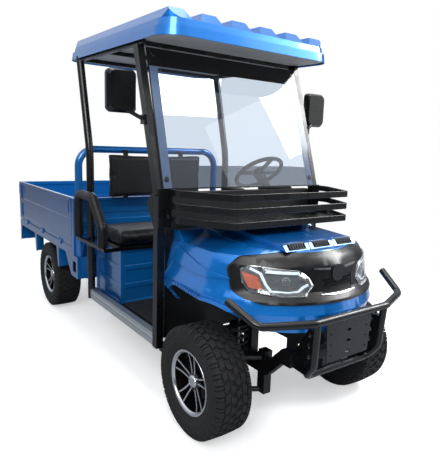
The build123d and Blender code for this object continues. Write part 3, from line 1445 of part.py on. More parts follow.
# Every node, built once
nodes = {}
tyre = make_tyre()
rim = make_rim()
for place, side, track, y in (
    ("front_right", -1, TRACK_FRONT, 0), ("front_left", 1, TRACK_FRONT, 0),
    ("rear_right", -1, TRACK_REAR, WHEELBASE), ("rear_left", 1, TRACK_REAR, WHEELBASE),
):
    spot = Pos(side * track / 2, y, TYRE_R) * Rot(0, 0, 0 if side > 0 else 180)
    nodes["tyre_" + place] = spot * tyre
    nodes["rim_" + place] = spot * rim
knuckle = make_knuckle()
left_knuckle = Pos(TRACK_FRONT / 2 - KINGPIN_INSET, 0, TYRE_R) * knuckle
nodes["knuckle_left"] = left_knuckle
nodes["knuckle_right"] = mirror(left_knuckle, about=Plane.YZ)
nodes["chassis_frame"] = make_frame()
nodes["front_suspension"] = make_front_suspension()
nodes["front_springs"] = make_springs()
nodes["rear_axle"] = make_rear_axle()
nodes["leaf_springs"] = make_leaf_springs()
nodes["floor_pan"] = make_floor()
nodes["floor_mat"] = make_mat()
nodes["sills"] = make_sills()
nodes["front_pillars"] = make_front_pillars()
nodes["rear_pillars"] = make_rear_pillars()
nodes["roof_rails"] = make_roof_rails()
nodes["roof_liner"] = make_liner()
nodes["roof"] = make_roof()
nodes["windshield"] = make_windshield()
nodes["front_body"] = make_front_body()
nodes["hood"] = make_hood()
nodes["hood_vents"] = make_vents()
nodes["front_mask"] = make_mask()
nodes["headlamps"] = make_lamps()
nodes["bull_bar"] = make_bull_bar()
nodes["front_basket"] = make_basket()
nodes["dashboard"] = make_dashboard()
nodes["steering_column"] = make_column()
nodes["steering_wheel"] = make_steering_wheel()
nodes["pedals"] = make_pedals()
nodes["mirrors"] = make_mirrors()
nodes["seat_box"] = make_seat_box()
nodes["seat_frame"] = make_seat_frame()
nodes["seat_cushion"] = make_cushion()
nodes["seat_backrest"] = make_backrest()
nodes["backrest_straps"] = several(*make_straps())
nodes["hip_restraints"] = make_hips()
nodes["battery_pack"] = make_battery()
nodes["bed_floor"] = make_bed()
nodes["bed_skirts"] = make_bed_skirts()
nodes["bed_front_wall"] = make_bed_front()
nodes["bed_hoop"] = make_hoop()
nodes["gate_right"] = make_gate_right()
nodes["gate_left"] = mirror(nodes["gate_right"], about=Plane.YZ)
nodes["tailgate"] = make_tailgate()

# The whole set is centred over the origin, standing on z = 0
box = Compound(children=[s for shape in nodes.values() for s in solids_of(shape)]).bounding_box()
shift = Pos(0, -(box.min.Y + box.max.Y) / 2, -box.min.Z)
for name, shape in nodes.items():
    moved = [shift * s for s in solids_of(shape)]
    export_step(moved[0] if len(moved) == 1 else Compound(children=moved), f"parts/{name}.step")
print("front axle at y =", round(-(box.min.Y + box.max.Y) / 2, 3), "box", box.size)
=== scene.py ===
import json
import math
import bmesh
import bpy
from mathutils import Matrix, Vector
from mathutils.bvhtree import BVHTree


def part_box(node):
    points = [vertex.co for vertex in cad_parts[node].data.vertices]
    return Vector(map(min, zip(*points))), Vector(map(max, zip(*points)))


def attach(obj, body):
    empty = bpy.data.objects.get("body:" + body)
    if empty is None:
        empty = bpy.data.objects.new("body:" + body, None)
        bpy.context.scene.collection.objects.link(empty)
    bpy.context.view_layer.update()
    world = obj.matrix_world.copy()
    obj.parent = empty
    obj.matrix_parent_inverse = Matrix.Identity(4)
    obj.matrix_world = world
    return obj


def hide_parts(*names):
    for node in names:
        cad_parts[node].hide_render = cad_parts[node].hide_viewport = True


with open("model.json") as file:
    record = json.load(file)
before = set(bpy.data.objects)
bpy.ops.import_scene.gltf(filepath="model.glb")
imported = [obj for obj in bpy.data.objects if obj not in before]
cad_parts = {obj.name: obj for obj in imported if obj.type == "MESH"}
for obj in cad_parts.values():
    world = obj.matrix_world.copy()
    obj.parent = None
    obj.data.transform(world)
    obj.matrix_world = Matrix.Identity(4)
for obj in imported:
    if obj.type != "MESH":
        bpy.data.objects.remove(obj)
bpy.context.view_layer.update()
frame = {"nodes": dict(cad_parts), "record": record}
NODES = frame["nodes"]

# The viewpoint of the photograph, found from the wheels and the straight lines of the cart:
# a standing person's eye, in front of the right-hand corner.
EYE = Vector((-1.8272, -3.3598, 1.4775))
EYE_TURN = math.radians(-35.81)
EYE_FALL = math.radians(9.42)
EYE_ROLL = math.radians(1.86)
FOCAL_PIXELS = 473.32
PHOTO_WIDE = 440
PHOTO_TALL = 456
AXIS_PIXEL_X = 222.14
AXIS_PIXEL_Y = 226.998
FILM = 36.0

back = Vector((
    math.sin(EYE_TURN) * math.cos(EYE_FALL),
    -math.cos(EYE_TURN) * math.cos(EYE_FALL),
    math.sin(EYE_FALL),
))
level = Vector((math.cos(EYE_TURN), math.sin(EYE_TURN), 0))
upward = back.cross(level)
rolled_right = level * math.cos(EYE_ROLL) + upward * math.sin(EYE_ROLL)
rolled_up = upward * math.cos(EYE_ROLL) - level * math.sin(EYE_ROLL)
camera_data = bpy.data.cameras.new("photo_view")
camera = bpy.data.objects.new("photo_view", camera_data)
bpy.context.scene.collection.objects.link(camera)
turn = Matrix((rolled_right, rolled_up, back)).transposed().to_4x4()
camera.matrix_world = Matrix.Translation(EYE) @ turn
camera_data.sensor_width = FILM
camera_data.lens = FOCAL_PIXELS / PHOTO_TALL * FILM
camera_data.shift_x = (PHOTO_WIDE / 2 - AXIS_PIXEL_X) / PHOTO_TALL
camera_data.shift_y = (AXIS_PIXEL_Y - PHOTO_TALL / 2) / PHOTO_TALL
camera_data.clip_end = 200
bpy.context.scene.camera = camera
bpy.context.scene.view_settings.view_transform = "Standard"


# The studio: a floor of pale paper that keeps the cart's shadow and goes white away from it, a white
# surround, and five large soft lamps. Gloss sees a darker hall with a pale sky over and behind the cart.
def linear(code):
    """An sRGB hex colour as the linear colour that a shader takes."""
    parts = [int(code[i:i + 2], 16) / 255 for i in (1, 3, 5)]
    return [c / 12.92 if c <= 0.04045 else ((c + 0.055) / 1.055) ** 2.4 for c in parts] + [1.0]


def add(tree, kind, values=None, feeds=None, **options):
    """Adds a node to a tree, with its options, values and feeds. A node as a feed is its first output."""
    node = tree.nodes.new(kind)
    for option, value in options.items():
        setattr(node, option, value)
    for socket, value in (values or {}).items():
        node.inputs[socket].default_value = value
    for socket, source in (feeds or {}).items():
        source = source.outputs[0] if isinstance(source, bpy.types.Node) else source
        tree.links.new(source, node.inputs[socket])
    return node


def blank(name):
    """A material with an empty tree."""
    made = bpy.data.materials.new(name)
    made.use_nodes = True
    made.node_tree.nodes.clear()
    return made, made.node_tree


FLOOR_SIZE = 60.0
FLOOR_WHITE = 0.9
FADE_START = 1.2
FADE_END = 3.6
SURROUND_LIGHT = 0.46
FLOOR_GLOW = 0.46
HALL = ((0.30, "#3c4248"), (0.44, "#c9d6e6"))
HALL_FOOT = "#24272b"
SKY_FROM = 0.62
WHITE = "#ffffff"

world = bpy.data.worlds.new("white_surround")
bpy.context.scene.world = world
world.use_nodes = True
tree = world.node_tree
tree.nodes.clear()
path = add(tree, "ShaderNodeLightPath").outputs
seen = add(tree, "ShaderNodeMath", feeds={0: path["Is Camera Ray"], 1: path["Is Transmission Ray"]},
           operation="MAXIMUM")
soft = add(tree, "ShaderNodeBackground", {"Color": linear("#eef3fa"), "Strength": SURROUND_LIGHT})
white = add(tree, "ShaderNodeBackground", {"Color": linear(WHITE), "Strength": 1.0})
place = add(tree, "ShaderNodeTexCoord").outputs["Generated"]
parts = add(tree, "ShaderNodeSeparateXYZ", feeds={0: place})
sky = add(tree, "ShaderNodeValToRGB", feeds={"Fac": parts.outputs["Z"]})
steps = sky.color_ramp.elements
steps[0].color = linear(HALL_FOOT)
steps[1].position = SKY_FROM
steps[1].color = linear(WHITE)
for height, code in HALL:
    steps.new(height).color = linear(code)
behind = add(tree, "ShaderNodeMapRange", {1: 0.1, 2: 0.7, 3: 0.0, 4: 0.8}, {0: parts.outputs["Y"]})
hall = add(tree, "ShaderNodeMix", {7: linear("#dfe7f1")}, {0: behind, 6: sky.outputs["Color"]},
           data_type="RGBA")
gloss = add(tree, "ShaderNodeBackground", {"Strength": 1.0}, {"Color": hall.outputs[2]})
first = add(tree, "ShaderNodeMixShader",
            feeds={0: path["Is Glossy Ray"], 1: soft, 2: gloss})
second = add(tree, "ShaderNodeMixShader", feeds={0: seen, 1: first, 2: white})
add(tree, "ShaderNodeOutputWorld", feeds={"Surface": second})

floor_mesh = bpy.data.meshes.new("studio_floor")
half = FLOOR_SIZE / 2
corners = [(-half, -half, 0), (half, -half, 0), (half, half, 0), (-half, half, 0)]
floor_mesh.from_pydata(corners, [], [(0, 1, 2, 3)])
floor = bpy.data.objects.new("studio_floor", floor_mesh)
bpy.context.scene.collection.objects.link(floor)
paper, tree = blank("white_floor_paper")
path = add(tree, "ShaderNodeLightPath").outputs
diffuse = add(tree, "ShaderNodeBsdfDiffuse", {"Color": [FLOOR_WHITE, FLOOR_WHITE, FLOOR_WHITE, 1]})
glow = add(tree, "ShaderNodeEmission", {"Color": linear(WHITE), "Strength": FLOOR_GLOW})
both = add(tree, "ShaderNodeAddShader", feeds={0: diffuse, 1: glow})
far_white = add(tree, "ShaderNodeEmission", {"Color": linear(WHITE), "Strength": 1.0})
place = add(tree, "ShaderNodeTexCoord").outputs["Object"]
reach = add(tree, "ShaderNodeVectorMath", feeds={0: place}, operation="LENGTH")
fade = add(tree, "ShaderNodeMapRange", {1: FADE_START, 2: FADE_END}, {0: reach.outputs["Value"]},
           interpolation_type="SMOOTHSTEP")
faded = add(tree, "ShaderNodeMixShader", feeds={0: fade, 1: both, 2: far_white})
concrete = add(tree, "ShaderNodeBsdfDiffuse", {"Color": linear("#a8abb1")})
mirrored = add(tree, "ShaderNodeMixShader",
               feeds={0: path["Is Glossy Ray"], 1: diffuse, 2: concrete})
lit = add(tree, "ShaderNodeMixShader",
          feeds={0: path["Is Camera Ray"], 1: mirrored, 2: faded})
add(tree, "ShaderNodeOutputMaterial", feeds={"Surface": lit})
floor_mesh.materials.append(paper)

LAMP_AIM = Vector((0, 0, 0.9))
LAMPS = [
    ("key", (-4.5, -5.5, 5.5), 3.4, 310.0),
    ("sun", (4.6, -3.2, 4.8), 2.4, 320.0),
    ("fill", (5.0, -4.0, 3.0), 4.0, 60.0),
    ("top", (0.0, -0.6, 6.5), 4.0, 190.0),
    ("rear", (2.5, 6.0, 4.0), 4.0, 120.0),
]
for name, spot, size, power in LAMPS:
    lamp_data = bpy.data.lights.new(name, "AREA")
    lamp_data.shape = "SQUARE"
    lamp_data.size = size
    lamp_data.energy = power
    lamp = bpy.data.objects.new(name, lamp_data)
    lamp.location = spot
    lamp.rotation_euler = (LAMP_AIM - Vector(spot)).to_track_quat("-Z", "Y").to_euler()
    bpy.context.scene.collection.objects.link(lamp)


# Frame, pillars, basket and bars: welded steel tube, flat bar and pressed sheet, bolted together
# and powder coated black. The eye sees a satin film whose sheen is uneven from one place to the next.
MERGE = 2e-5


def powder_coat(name, code, rough):
    """Powder coat, a baked polyester film: orange peel of 1.1 mm, and patches of wear of about 110 mm."""
    made, tree = blank(name)
    place = add(tree, "ShaderNodeTexCoord").outputs["Object"]
    peel = add(tree, "ShaderNodeTexNoise", {"Scale": 900.0, "Detail": 2.0}, {"Vector": place})
    cloud = add(tree, "ShaderNodeTexNoise", {"Scale": 9.0, "Detail": 5.0}, {"Vector": place})
    spread = add(tree, "ShaderNodeMapRange", {1: 0.35, 2: 0.7, 3: rough - 0.06, 4: rough + 0.1},
                 {0: cloud})
    bump = add(tree, "ShaderNodeBump", {"Strength": 0.12, "Distance": 0.0004}, {"Height": peel})
    film = add(tree, "ShaderNodeBsdfPrincipled", {"Base Color": linear(code), "IOR": 1.5},
               {"Roughness": spread, "Normal": bump})
    add(tree, "ShaderNodeOutputMaterial", feeds={"Surface": film})
    return made


def rounded(node, name, coats, bevel, angle=32.0, segments=2):
    """A copy of a rigid piece with its corners rounded as paint and pressing leave them."""
    mesh = NODES[node].data.copy()
    mesh.name = name
    work = bmesh.new()
    work.from_mesh(mesh)
    bmesh.ops.remove_doubles(work, verts=work.verts, dist=MERGE)
    bmesh.ops.dissolve_limit(work, angle_limit=math.radians(0.6), verts=work.verts, edges=work.edges)
    work.to_mesh(mesh)
    work.free()
    mesh.materials.clear()
    piece = bpy.data.objects.new(name, mesh)
    bpy.context.scene.collection.objects.link(piece)
    for coat in coats:
        mesh.materials.append(coat)
    for face in mesh.polygons:
        face.material_index = 0
        face.use_smooth = True
    mesh.set_sharp_from_angle(angle=math.radians(angle))
    if bevel > 0:
        edge = piece.modifiers.new("edge", "BEVEL")
        edge.width = bevel
        edge.segments = segments
        edge.limit_method = "ANGLE"
        edge.angle_limit = math.radians(angle)
    flat = piece.modifiers.new("flat", "WEIGHTED_NORMAL")
    flat.keep_sharp = True
    settle(piece, None)
    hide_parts(node)
    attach(piece, BODY_OF[node])
    return piece


def settle(piece, angle=32.0):
    """Applies a piece's modifiers, and smooths its shading up to that angle where one is given."""
    bpy.context.view_layer.update()
    graph = bpy.context.evaluated_depsgraph_get()
    mesh = bpy.data.meshes.new_from_object(piece.evaluated_get(graph))
    piece.modifiers.clear()
    old = piece.data
    piece.data = mesh
    bpy.data.meshes.remove(old)
    mesh.name = piece.name
    if angle is not None:
        for face in mesh.polygons:
            face.use_smooth = True
        mesh.set_sharp_from_angle(angle=math.radians(angle))
    return piece


BODY_OF = {node: name for name, members in frame["record"]["behaviour"]["bodies"].items() for node in members}
# The coat of the pillars and bars is satin black. The chassis under them is duller.
black_coat = powder_coat("black_powder_coat", "#08090a", 0.27)
frame_coat = powder_coat("chassis_black", "#070708", 0.42)
for node in ("chassis_frame", "front_suspension", "leaf_springs", "floor_pan"):
    rounded(node, node + "_coated", [frame_coat], 0.0012)
for node in ("front_pillars", "rear_pillars", "roof_rails", "bull_bar", "front_basket", "seat_frame"):
    bevel = 0.0022 if node == "front_basket" else 0.0012
    rounded(node, node + "_coated", [black_coat], bevel)

# Tyres: 23 x 10.5-12 all-terrain tyres of black rubber, moulded with staggered tread blocks, long
# and short shoulder lugs and a ribbed sidewall. One pitch of the tread is repeated round the carcass.
TYRE_R = 0.292
GROOVE = 0.0085
TREAD_HALF = 0.093
WALL_HALF = 0.1108
LIP_HALF = 0.0924
LIP_R = 0.1704
PITCHES = 34
PITCH = 2 * math.pi * TYRE_R / PITCHES
CROWN = 0.004
# One pitch of the tread's right half: each block as lines across it, (offset, start, end along the pitch).
BLOCK_ROWS = {
    "centre": ((0.002, 0.06, 0.62), (0.014, 0.0, 0.56), (0.022, 0.12, 0.68), (0.031, 0.2, 0.74)),
    "middle": ((0.036, 0.42, 1.06), (0.048, 0.36, 1.0), (0.054, 0.26, 0.92), (0.064, 0.2, 0.86)),
    "shoulder": ((0.0695, -0.1, 0.44), (0.08, -0.06, 0.5), (0.093, -0.04, 0.5), (0.106, 0.0, 0.48)),
    "short": ((0.071, 0.6, 0.82), (0.093, 0.58, 0.84), (0.1045, 0.6, 0.82)),
}


def tread_radius(x):
    """Radius of the tread face at an offset from the middle: a slight crown, then a round shoulder."""
    if abs(x) <= TREAD_HALF:
        return TYRE_R - CROWN * (x / TREAD_HALF) ** 2
    fall = (abs(x) - TREAD_HALF) / (WALL_HALF - TREAD_HALF)
    return TYRE_R - CROWN - 0.03 * fall ** 1.3


def ended(work, name, outward=True):
    """Ends a mesh that was being built, with its faces turned outwards."""
    if outward:
        bmesh.ops.recalc_face_normals(work, faces=work.faces)
    mesh = bpy.data.meshes.new(name)
    work.to_mesh(mesh)
    work.free()
    return mesh


def lathe(name, profile, steps):
    """A ring turned about the X axis from (offset, radius) points."""
    work = bmesh.new()
    rings = []
    for number in range(steps):
        angle = 2 * math.pi * number / steps
        rings.append([work.verts.new((x, r * math.cos(angle), r * math.sin(angle))) for x, r in profile])
    count = len(profile)
    for number in range(steps):
        here = rings[number]
        after = rings[(number + 1) % steps]
        for k in range(count):
            m = (k + 1) % count
            work.faces.new((here[k], after[k], after[m], here[m]))
    return ended(work, name)


def shown(name, mesh, *coats):
    """Puts a mesh in the scene as a piece of its own, with its materials."""
    for coat in coats:
        mesh.materials.append(coat)
    piece = bpy.data.objects.new(name, mesh)
    bpy.context.scene.collection.objects.link(piece)
    return piece


def opened(name, **inputs):
    """A Geometry Nodes tree with named inputs, and those inputs as sockets to read."""
    tree = bpy.data.node_groups.new(name, "GeometryNodeTree")
    for socket, kind in inputs.items():
        tree.interface.new_socket(socket, in_out="INPUT", socket_type="NodeSocket" + kind)
    tree.interface.new_socket("Whole", in_out="OUTPUT", socket_type="NodeSocketGeometry")
    return tree, add(tree, "NodeGroupInput").outputs


def repeated(tree, given, points, piece, **turned):
    """Ends a tree: the piece is set on the points, made real and given its coat."""
    placed = add(tree, "GeometryNodeInstanceOnPoints", feeds={"Points": points, "Instance": piece, **turned})
    real = add(tree, "GeometryNodeRealizeInstances", feeds={"Geometry": placed})
    coat = add(tree, "GeometryNodeSetMaterial", feeds={"Geometry": real, "Material": given["Coat"]})
    add(tree, "NodeGroupOutput", feeds={"Whole": coat})
    return tree


def ring_tree():
    """Repeats a piece in a ring about X. Inputs: the piece, its count and its material."""
    tree, given = opened("ring_about_x", Piece="Geometry", Count="Int", Coat="Material")
    points = add(tree, "GeometryNodePoints", feeds={"Count": given["Count"]})
    index = add(tree, "GeometryNodeInputIndex")
    share = add(tree, "ShaderNodeMath", feeds={0: index, 1: given["Count"]}, operation="DIVIDE")
    angle = add(tree, "ShaderNodeMath", {1: 2 * math.pi}, {0: share}, operation="MULTIPLY")
    spin = add(tree, "ShaderNodeCombineXYZ", feeds={"X": angle})
    return repeated(tree, given, points, given["Piece"], Rotation=spin)


def grown(piece, tree, **inputs):
    """Runs a node tree on a piece, and keeps the result as its plain mesh."""
    step = piece.modifiers.new("grow", "NODES")
    step.node_group = tree
    for socket in tree.interface.items_tree:
        if socket.in_out == "INPUT" and socket.name in inputs:
            step[socket.identifier] = inputs[socket.name]
    return settle(piece)


RING = ring_tree()

# Vulcanised rubber, moulded: near black and dull, with 4 mm grit and road dust in patches of 70 mm.
rubber, tree = blank("moulded_tyre_rubber")
place = add(tree, "ShaderNodeTexCoord").outputs["Object"]
grit = add(tree, "ShaderNodeTexNoise", {"Scale": 260.0, "Detail": 4.0}, {"Vector": place})
dust = add(tree, "ShaderNodeTexNoise", {"Scale": 14.0, "Detail": 6.0}, {"Vector": place})
grey = add(tree, "ShaderNodeMix", {6: linear("#101011"), 7: linear("#1f1f20")}, {0: dust},
           data_type="RGBA")
dull = add(tree, "ShaderNodeMapRange", {3: 0.62, 4: 0.86}, {0: dust})
bump = add(tree, "ShaderNodeBump", {"Strength": 0.25, "Distance": 0.0006}, {"Height": grit})
skin = add(tree, "ShaderNodeBsdfPrincipled", {"IOR": 1.52, "Specular IOR Level": 0.35},
           {"Base Color": grey.outputs[2], "Roughness": dull, "Normal": bump})
add(tree, "ShaderNodeOutputMaterial", feeds={"Surface": skin})


def tread_pitch():
    """One pitch of the tread, both halves, the left half staggered by half a pitch."""
    work = bmesh.new()
    bottom = TYRE_R - GROOVE - CROWN
    for side in (-1, 1):
        for rows in BLOCK_ROWS.values():
            tops = []
            feet = []
            for x, start, stop in rows:
                top = tread_radius(x)
                foot = min(bottom, top - GROOVE) - 0.002
                for group, radius, spread in ((tops, top, 0.0), (feet, foot, 0.03)):
                    line = []
                    for share in (start - spread, stop + spread):
                        angle = (share + (0.5 if side < 0 else 0.0)) * PITCH / TYRE_R
                        spot = (side * x, radius * math.cos(angle), radius * math.sin(angle))
                        line.append(work.verts.new(spot))
                    group.append(line)
            for k in range(len(rows) - 1):
                work.faces.new((tops[k][0], tops[k][1], tops[k + 1][1], tops[k + 1][0]))
                work.faces.new((tops[k][0], feet[k][0], feet[k + 1][0], tops[k + 1][0]))
                work.faces.new((tops[k][1], feet[k][1], feet[k + 1][1], tops[k + 1][1]))
                work.faces.new((feet[k][0], feet[k][1], feet[k + 1][1], feet[k + 1][0]))
            for k in (0, -1):
                work.faces.new((tops[k][0], tops[k][1], feet[k][1], feet[k][0]))
    return ended(work, "tread_pitch")


def wall_point(share):
    """A point of the sidewall from the shoulder (0) to the lip (1), as offset and radius."""
    top_r = tread_radius(WALL_HALF) - GROOVE * 0.6
    radius = top_r + (LIP_R - top_r) * share
    bulge = math.sin(math.pi * min(1.0, share * 1.15)) ** 0.6 if share < 0.87 else 0.0
    drawn_in = (WALL_HALF - LIP_HALF - 0.003) * max(0.0, (share - 0.45) / 0.55) ** 1.6
    x = WALL_HALF - 0.004 + 0.004 * bulge - drawn_in
    return x, radius


def carcass():
    """The tyre's body: groove floor, shoulders, sidewalls with raised rings, and beads."""
    floor_line = []
    for k in range(9):
        x = WALL_HALF * 0.97 * (k / 4 - 1)
        floor_line.append((x, tread_radius(x) - GROOVE))
    steps = [(0.06, 0), (0.16, 0), (0.18, 0.0016), (0.24, 0.0016), (0.26, 0), (0.45, 0), (0.47, 0.0014),
             (0.53, 0.0014), (0.55, 0), (0.72, 0), (0.74, 0.0012), (0.9, 0.0022), (0.97, 0.001), (1.0, 0)]
    right = []
    for share, rise in steps:
        x, radius = wall_point(share)
        right.append((x + rise - 0.002, radius))
    bead = [(0.084, LIP_R), (0.084, 0.1585)]
    left = [(-x, r) for x, r in reversed(right)]
    profile = floor_line + right + bead + [(-x, r) for x, r in reversed(bead)] + left
    return lathe("tyre_carcass", profile, 144)


# Wheels: five pairs of split spokes, cast, painted black and turned bright on the face,
# in a black barrel with a bright turned lip, and a fluted chrome cap over the hub.
SPOKES = 5
HUB_FACE = 0.062
# Each spoke from hub to lip, as (radius, half the gap between the pair, width, rise of the face).
SPOKE_STEPS = [(0.034, 0.0125, 0.012, 0.0), (0.060, 0.0135, 0.0135, 0.002), (0.090, 0.0165, 0.013, 0.006),
               (0.120, 0.0215, 0.0125, 0.011), (0.142, 0.0265, 0.013, 0.0165), (0.1535, 0.030, 0.0145, 0.020)]
SPOKE_DEEP = 0.017
CHAMFER = 0.0025


def polished(name, look, low, high, marks, detail=4.0):
    """A smooth finish that the tool, wiping and weather leave uneven, in marks of so many to the metre."""
    made, tree = blank(name)
    place = add(tree, "ShaderNodeTexCoord").outputs["Object"]
    worn = add(tree, "ShaderNodeTexNoise", {"Scale": marks, "Detail": detail}, {"Vector": place})
    haze = add(tree, "ShaderNodeMapRange", {3: low, 4: high}, {0: worn})
    skin = add(tree, "ShaderNodeBsdfPrincipled", look, {"Roughness": haze})
    add(tree, "ShaderNodeOutputMaterial", feeds={"Surface": skin})
    return made


def metal(code):
    """The look of a bare metal in a colour."""
    return {"Base Color": linear(code), "Metallic": 1.0}


# Cast aluminium, turned on its face: bright and slightly brushed, in tool marks 3 mm apart.
turned = polished("turned_alloy_face", metal("#d9dade"), 0.16, 0.34, 320.0, 3.0)
# Gloss enamel over cast aluminium: black with a wet shine, hazed by dust in patches of 45 mm.
enamel = {"Base Color": linear("#0b0b0c"), "IOR": 1.5}
gloss_black = polished("gloss_black_wheel_paint", enamel, 0.18, 0.36, 22.0, 5.0)
# Chromium plate over a moulded cap: a mirror with wiping marks 17 mm across.
chrome = polished("bright_chrome_plate", metal("#c9cccf"), 0.04, 0.14, 60.0)


def spoke_pair():
    """Two split spokes that part towards the lip. Face 1 of each is the turned one."""
    work = bmesh.new()
    bright_faces = []
    for side in (-1, 1):
        rings = []
        for radius, apart, wide, rise in SPOKE_STEPS:
            x = HUB_FACE + rise
            y = side * apart
            half = wide / 2
            outline = [
                (x - SPOKE_DEEP, -half), (x - CHAMFER, -half), (x, -half + CHAMFER), (x, half - CHAMFER),
                (x - CHAMFER, half), (x - SPOKE_DEEP, half),
            ]
            rings.append([work.verts.new((a, y + b, radius)) for a, b in outline])
        for k in range(len(rings) - 1):
            for m in range(6):
                n = (m + 1) % 6
                face = work.faces.new((rings[k][m], rings[k][n], rings[k + 1][n], rings[k + 1][m]))
                if m == 2:
                    bright_faces.append(face)
        work.faces.new(rings[0])
        work.faces.new(rings[-1])
    work.faces.index_update()
    picked = [f.index for f in bright_faces]
    return ended(work, "spoke_pair"), picked


def joined(name, pieces):
    """Several pieces as one mesh object, at the origin."""
    work = bmesh.new()
    coats = []
    for piece in pieces:
        start = len(work.faces)
        work.from_mesh(piece.data)
        work.faces.ensure_lookup_table()
        names = []
        for coat in piece.data.materials:
            if coat not in coats:
                coats.append(coat)
            names.append(coats.index(coat))
        for face in work.faces[start:]:
            face.material_index = names[face.material_index] if names else 0
    mesh = ended(work, name, outward=False)
    for piece in pieces:
        old = piece.data
        bpy.data.objects.remove(piece)
        bpy.data.meshes.remove(old)
    piece = shown(name, mesh, *coats)
    mesh.set_sharp_from_angle(angle=math.radians(32))
    return piece


def smoothed(*pieces):
    """Shades pieces smooth all over."""
    for piece in pieces:
        for face in piece.data.polygons:
            face.use_smooth = True


blocks = grown(shown("tread_blocks", tread_pitch()), RING, Count=PITCHES, Coat=rubber)
body = shown("tyre_body", carcass(), rubber)
smoothed(body)
whole_tyre = joined("whole_tyre", [body, blocks])

pair, turned_faces = spoke_pair()
work = bmesh.new()
for number in range(SPOKES):
    begin = len(work.faces)
    work.from_mesh(pair)
    work.faces.ensure_lookup_table()
    fresh = work.faces[begin:]
    for k, face in enumerate(fresh):
        face.material_index = 1 if k in turned_faces else 0
    points = list({v for face in fresh for v in face.verts})
    turn = Matrix.Rotation(2 * math.pi * number / SPOKES, 3, "X")
    bmesh.ops.rotate(work, verts=points, cent=(0, 0, 0), matrix=turn)
spokes = shown("spoke_ring", ended(work, "spoke_ring", outward=False), gloss_black, turned)
bpy.data.meshes.remove(pair)

barrel_line = [
    (-0.0925, 0.1515), (0.0830, 0.1515), (0.0860, 0.1560), (0.0905, 0.1580), (0.0915, 0.1620),
    (0.0925, 0.1695), (0.0845, 0.1700), (0.0840, 0.1578), (-0.0840, 0.1578), (-0.0845, 0.1700),
    (-0.0925, 0.1695),
]
barrel = shown("barrel", lathe("barrel", barrel_line, 96), gloss_black)
lip_line = [(0.0832, 0.1508), (0.0868, 0.1550), (0.0912, 0.1572), (0.0932, 0.1618), (0.0938, 0.1688),
            (0.0928, 0.1694), (0.0918, 0.1618), (0.0902, 0.1586), (0.0858, 0.1564), (0.0826, 0.1514)]
lip = shown("lip", lathe("lip", lip_line, 128), turned)
hub_line = [(0.030, 0.0165), (0.030, 0.050), (0.056, 0.050), (0.0625, 0.044), (0.0625, 0.0165)]
hub = shown("hub", lathe("hub", hub_line, 64), gloss_black)
work = bmesh.new()
CAP_LINE = [(0.060, 0.036), (0.066, 0.0355), (0.072, 0.032), (0.0765, 0.027), (0.0785, 0.020),
            (0.0788, 0.0185), (0.0775, 0.0175), (0.0775, 0.0)]
CAP_STEPS = 80
FLUTES = 10
rows = []
for number in range(CAP_STEPS):
    angle = 2 * math.pi * number / CAP_STEPS
    flute = 1 - 0.08 * max(0.0, math.cos(FLUTES * angle))
    row = []
    for x, radius in CAP_LINE[:-1]:
        grown_r = radius * (flute if 0.02 <= radius < 0.0355 else 1.0)
        row.append(work.verts.new((x, grown_r * math.cos(angle), grown_r * math.sin(angle))))
    rows.append(row)
pole = work.verts.new((CAP_LINE[-1][0], 0, 0))
base = work.verts.new((CAP_LINE[0][0], 0, 0))
for number in range(CAP_STEPS):
    here = rows[number]
    after = rows[(number + 1) % CAP_STEPS]
    for k in range(len(here) - 1):
        work.faces.new((here[k], after[k], after[k + 1], here[k + 1]))
    work.faces.new((here[-1], after[-1], pole))
    work.faces.new((after[0], here[0], base))
cap = shown("cap", ended(work, "hub_cap"), chrome)
smoothed(barrel, lip, hub, cap)
whole_rim = joined("whole_rim", [barrel, lip, hub, spokes, cap])

for corner in ("front_right", "front_left", "rear_right", "rear_left"):
    low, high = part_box("tyre_" + corner)
    middle = (low + high) / 2
    outward = 1 if middle.x > 0 else -1
    for kind, source, coat in (("tyre", whole_tyre, "tyre"), ("rim", whole_rim, "alloy")):
        mesh = source.data.copy()
        turn = Matrix.Rotation(0 if outward > 0 else math.pi, 4, "Z")
        mesh.transform(Matrix.Translation(middle) @ turn)
        piece = shown(kind + "_" + corner + "_finished", mesh)
        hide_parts(kind + "_" + corner)
        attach(piece, "wheel_" + corner)
for source in (whole_tyre, whole_rim):
    bpy.data.objects.remove(source)


# Body panels: pressed steel and moulded panels in metallic blue, a base coat with fine flake
# under a clear coat. The eye sees a deep azure that goes pale where the sky is mirrored.
def clear_over_blue(name, code, dark, flake):
    """A base coat that darkens as the face turns away, under a clear coat. Flake 0.7 mm, drawn coarser
    than the real 0.05 mm so that it shows, and orange peel of 4 mm."""
    made, tree = blank(name)
    place = add(tree, "ShaderNodeTexCoord").outputs["Object"]
    cell = add(tree, "ShaderNodeTexVoronoi", {"Scale": 1400.0}, {"Vector": place})
    peel = add(tree, "ShaderNodeTexNoise", {"Scale": 240.0, "Detail": 1.0}, {"Vector": place})
    edge = add(tree, "ShaderNodeLayerWeight", {"Blend": 0.35})
    tone = add(tree, "ShaderNodeMix", {6: linear(code), 7: linear(dark)}, {0: edge.outputs["Facing"]},
               data_type="RGBA")
    glint = add(tree, "ShaderNodeMapRange", {1: 0.0, 2: 1.0, 3: 0.28 - flake, 4: 0.28 + flake},
                {0: cell.outputs["Color"]})
    bump = add(tree, "ShaderNodeBump", {"Strength": 0.03, "Distance": 0.0005}, {"Height": peel})
    coat = add(tree, "ShaderNodeBsdfPrincipled", {
        "Metallic": 0.45, "IOR": 1.5, "Coat Weight": 1.0, "Coat IOR": 1.45, "Coat Roughness": 0.06,
    }, {"Base Color": tone.outputs[2], "Roughness": glint, "Coat Normal": bump})
    add(tree, "ShaderNodeOutputMaterial", feeds={"Surface": coat})
    return made


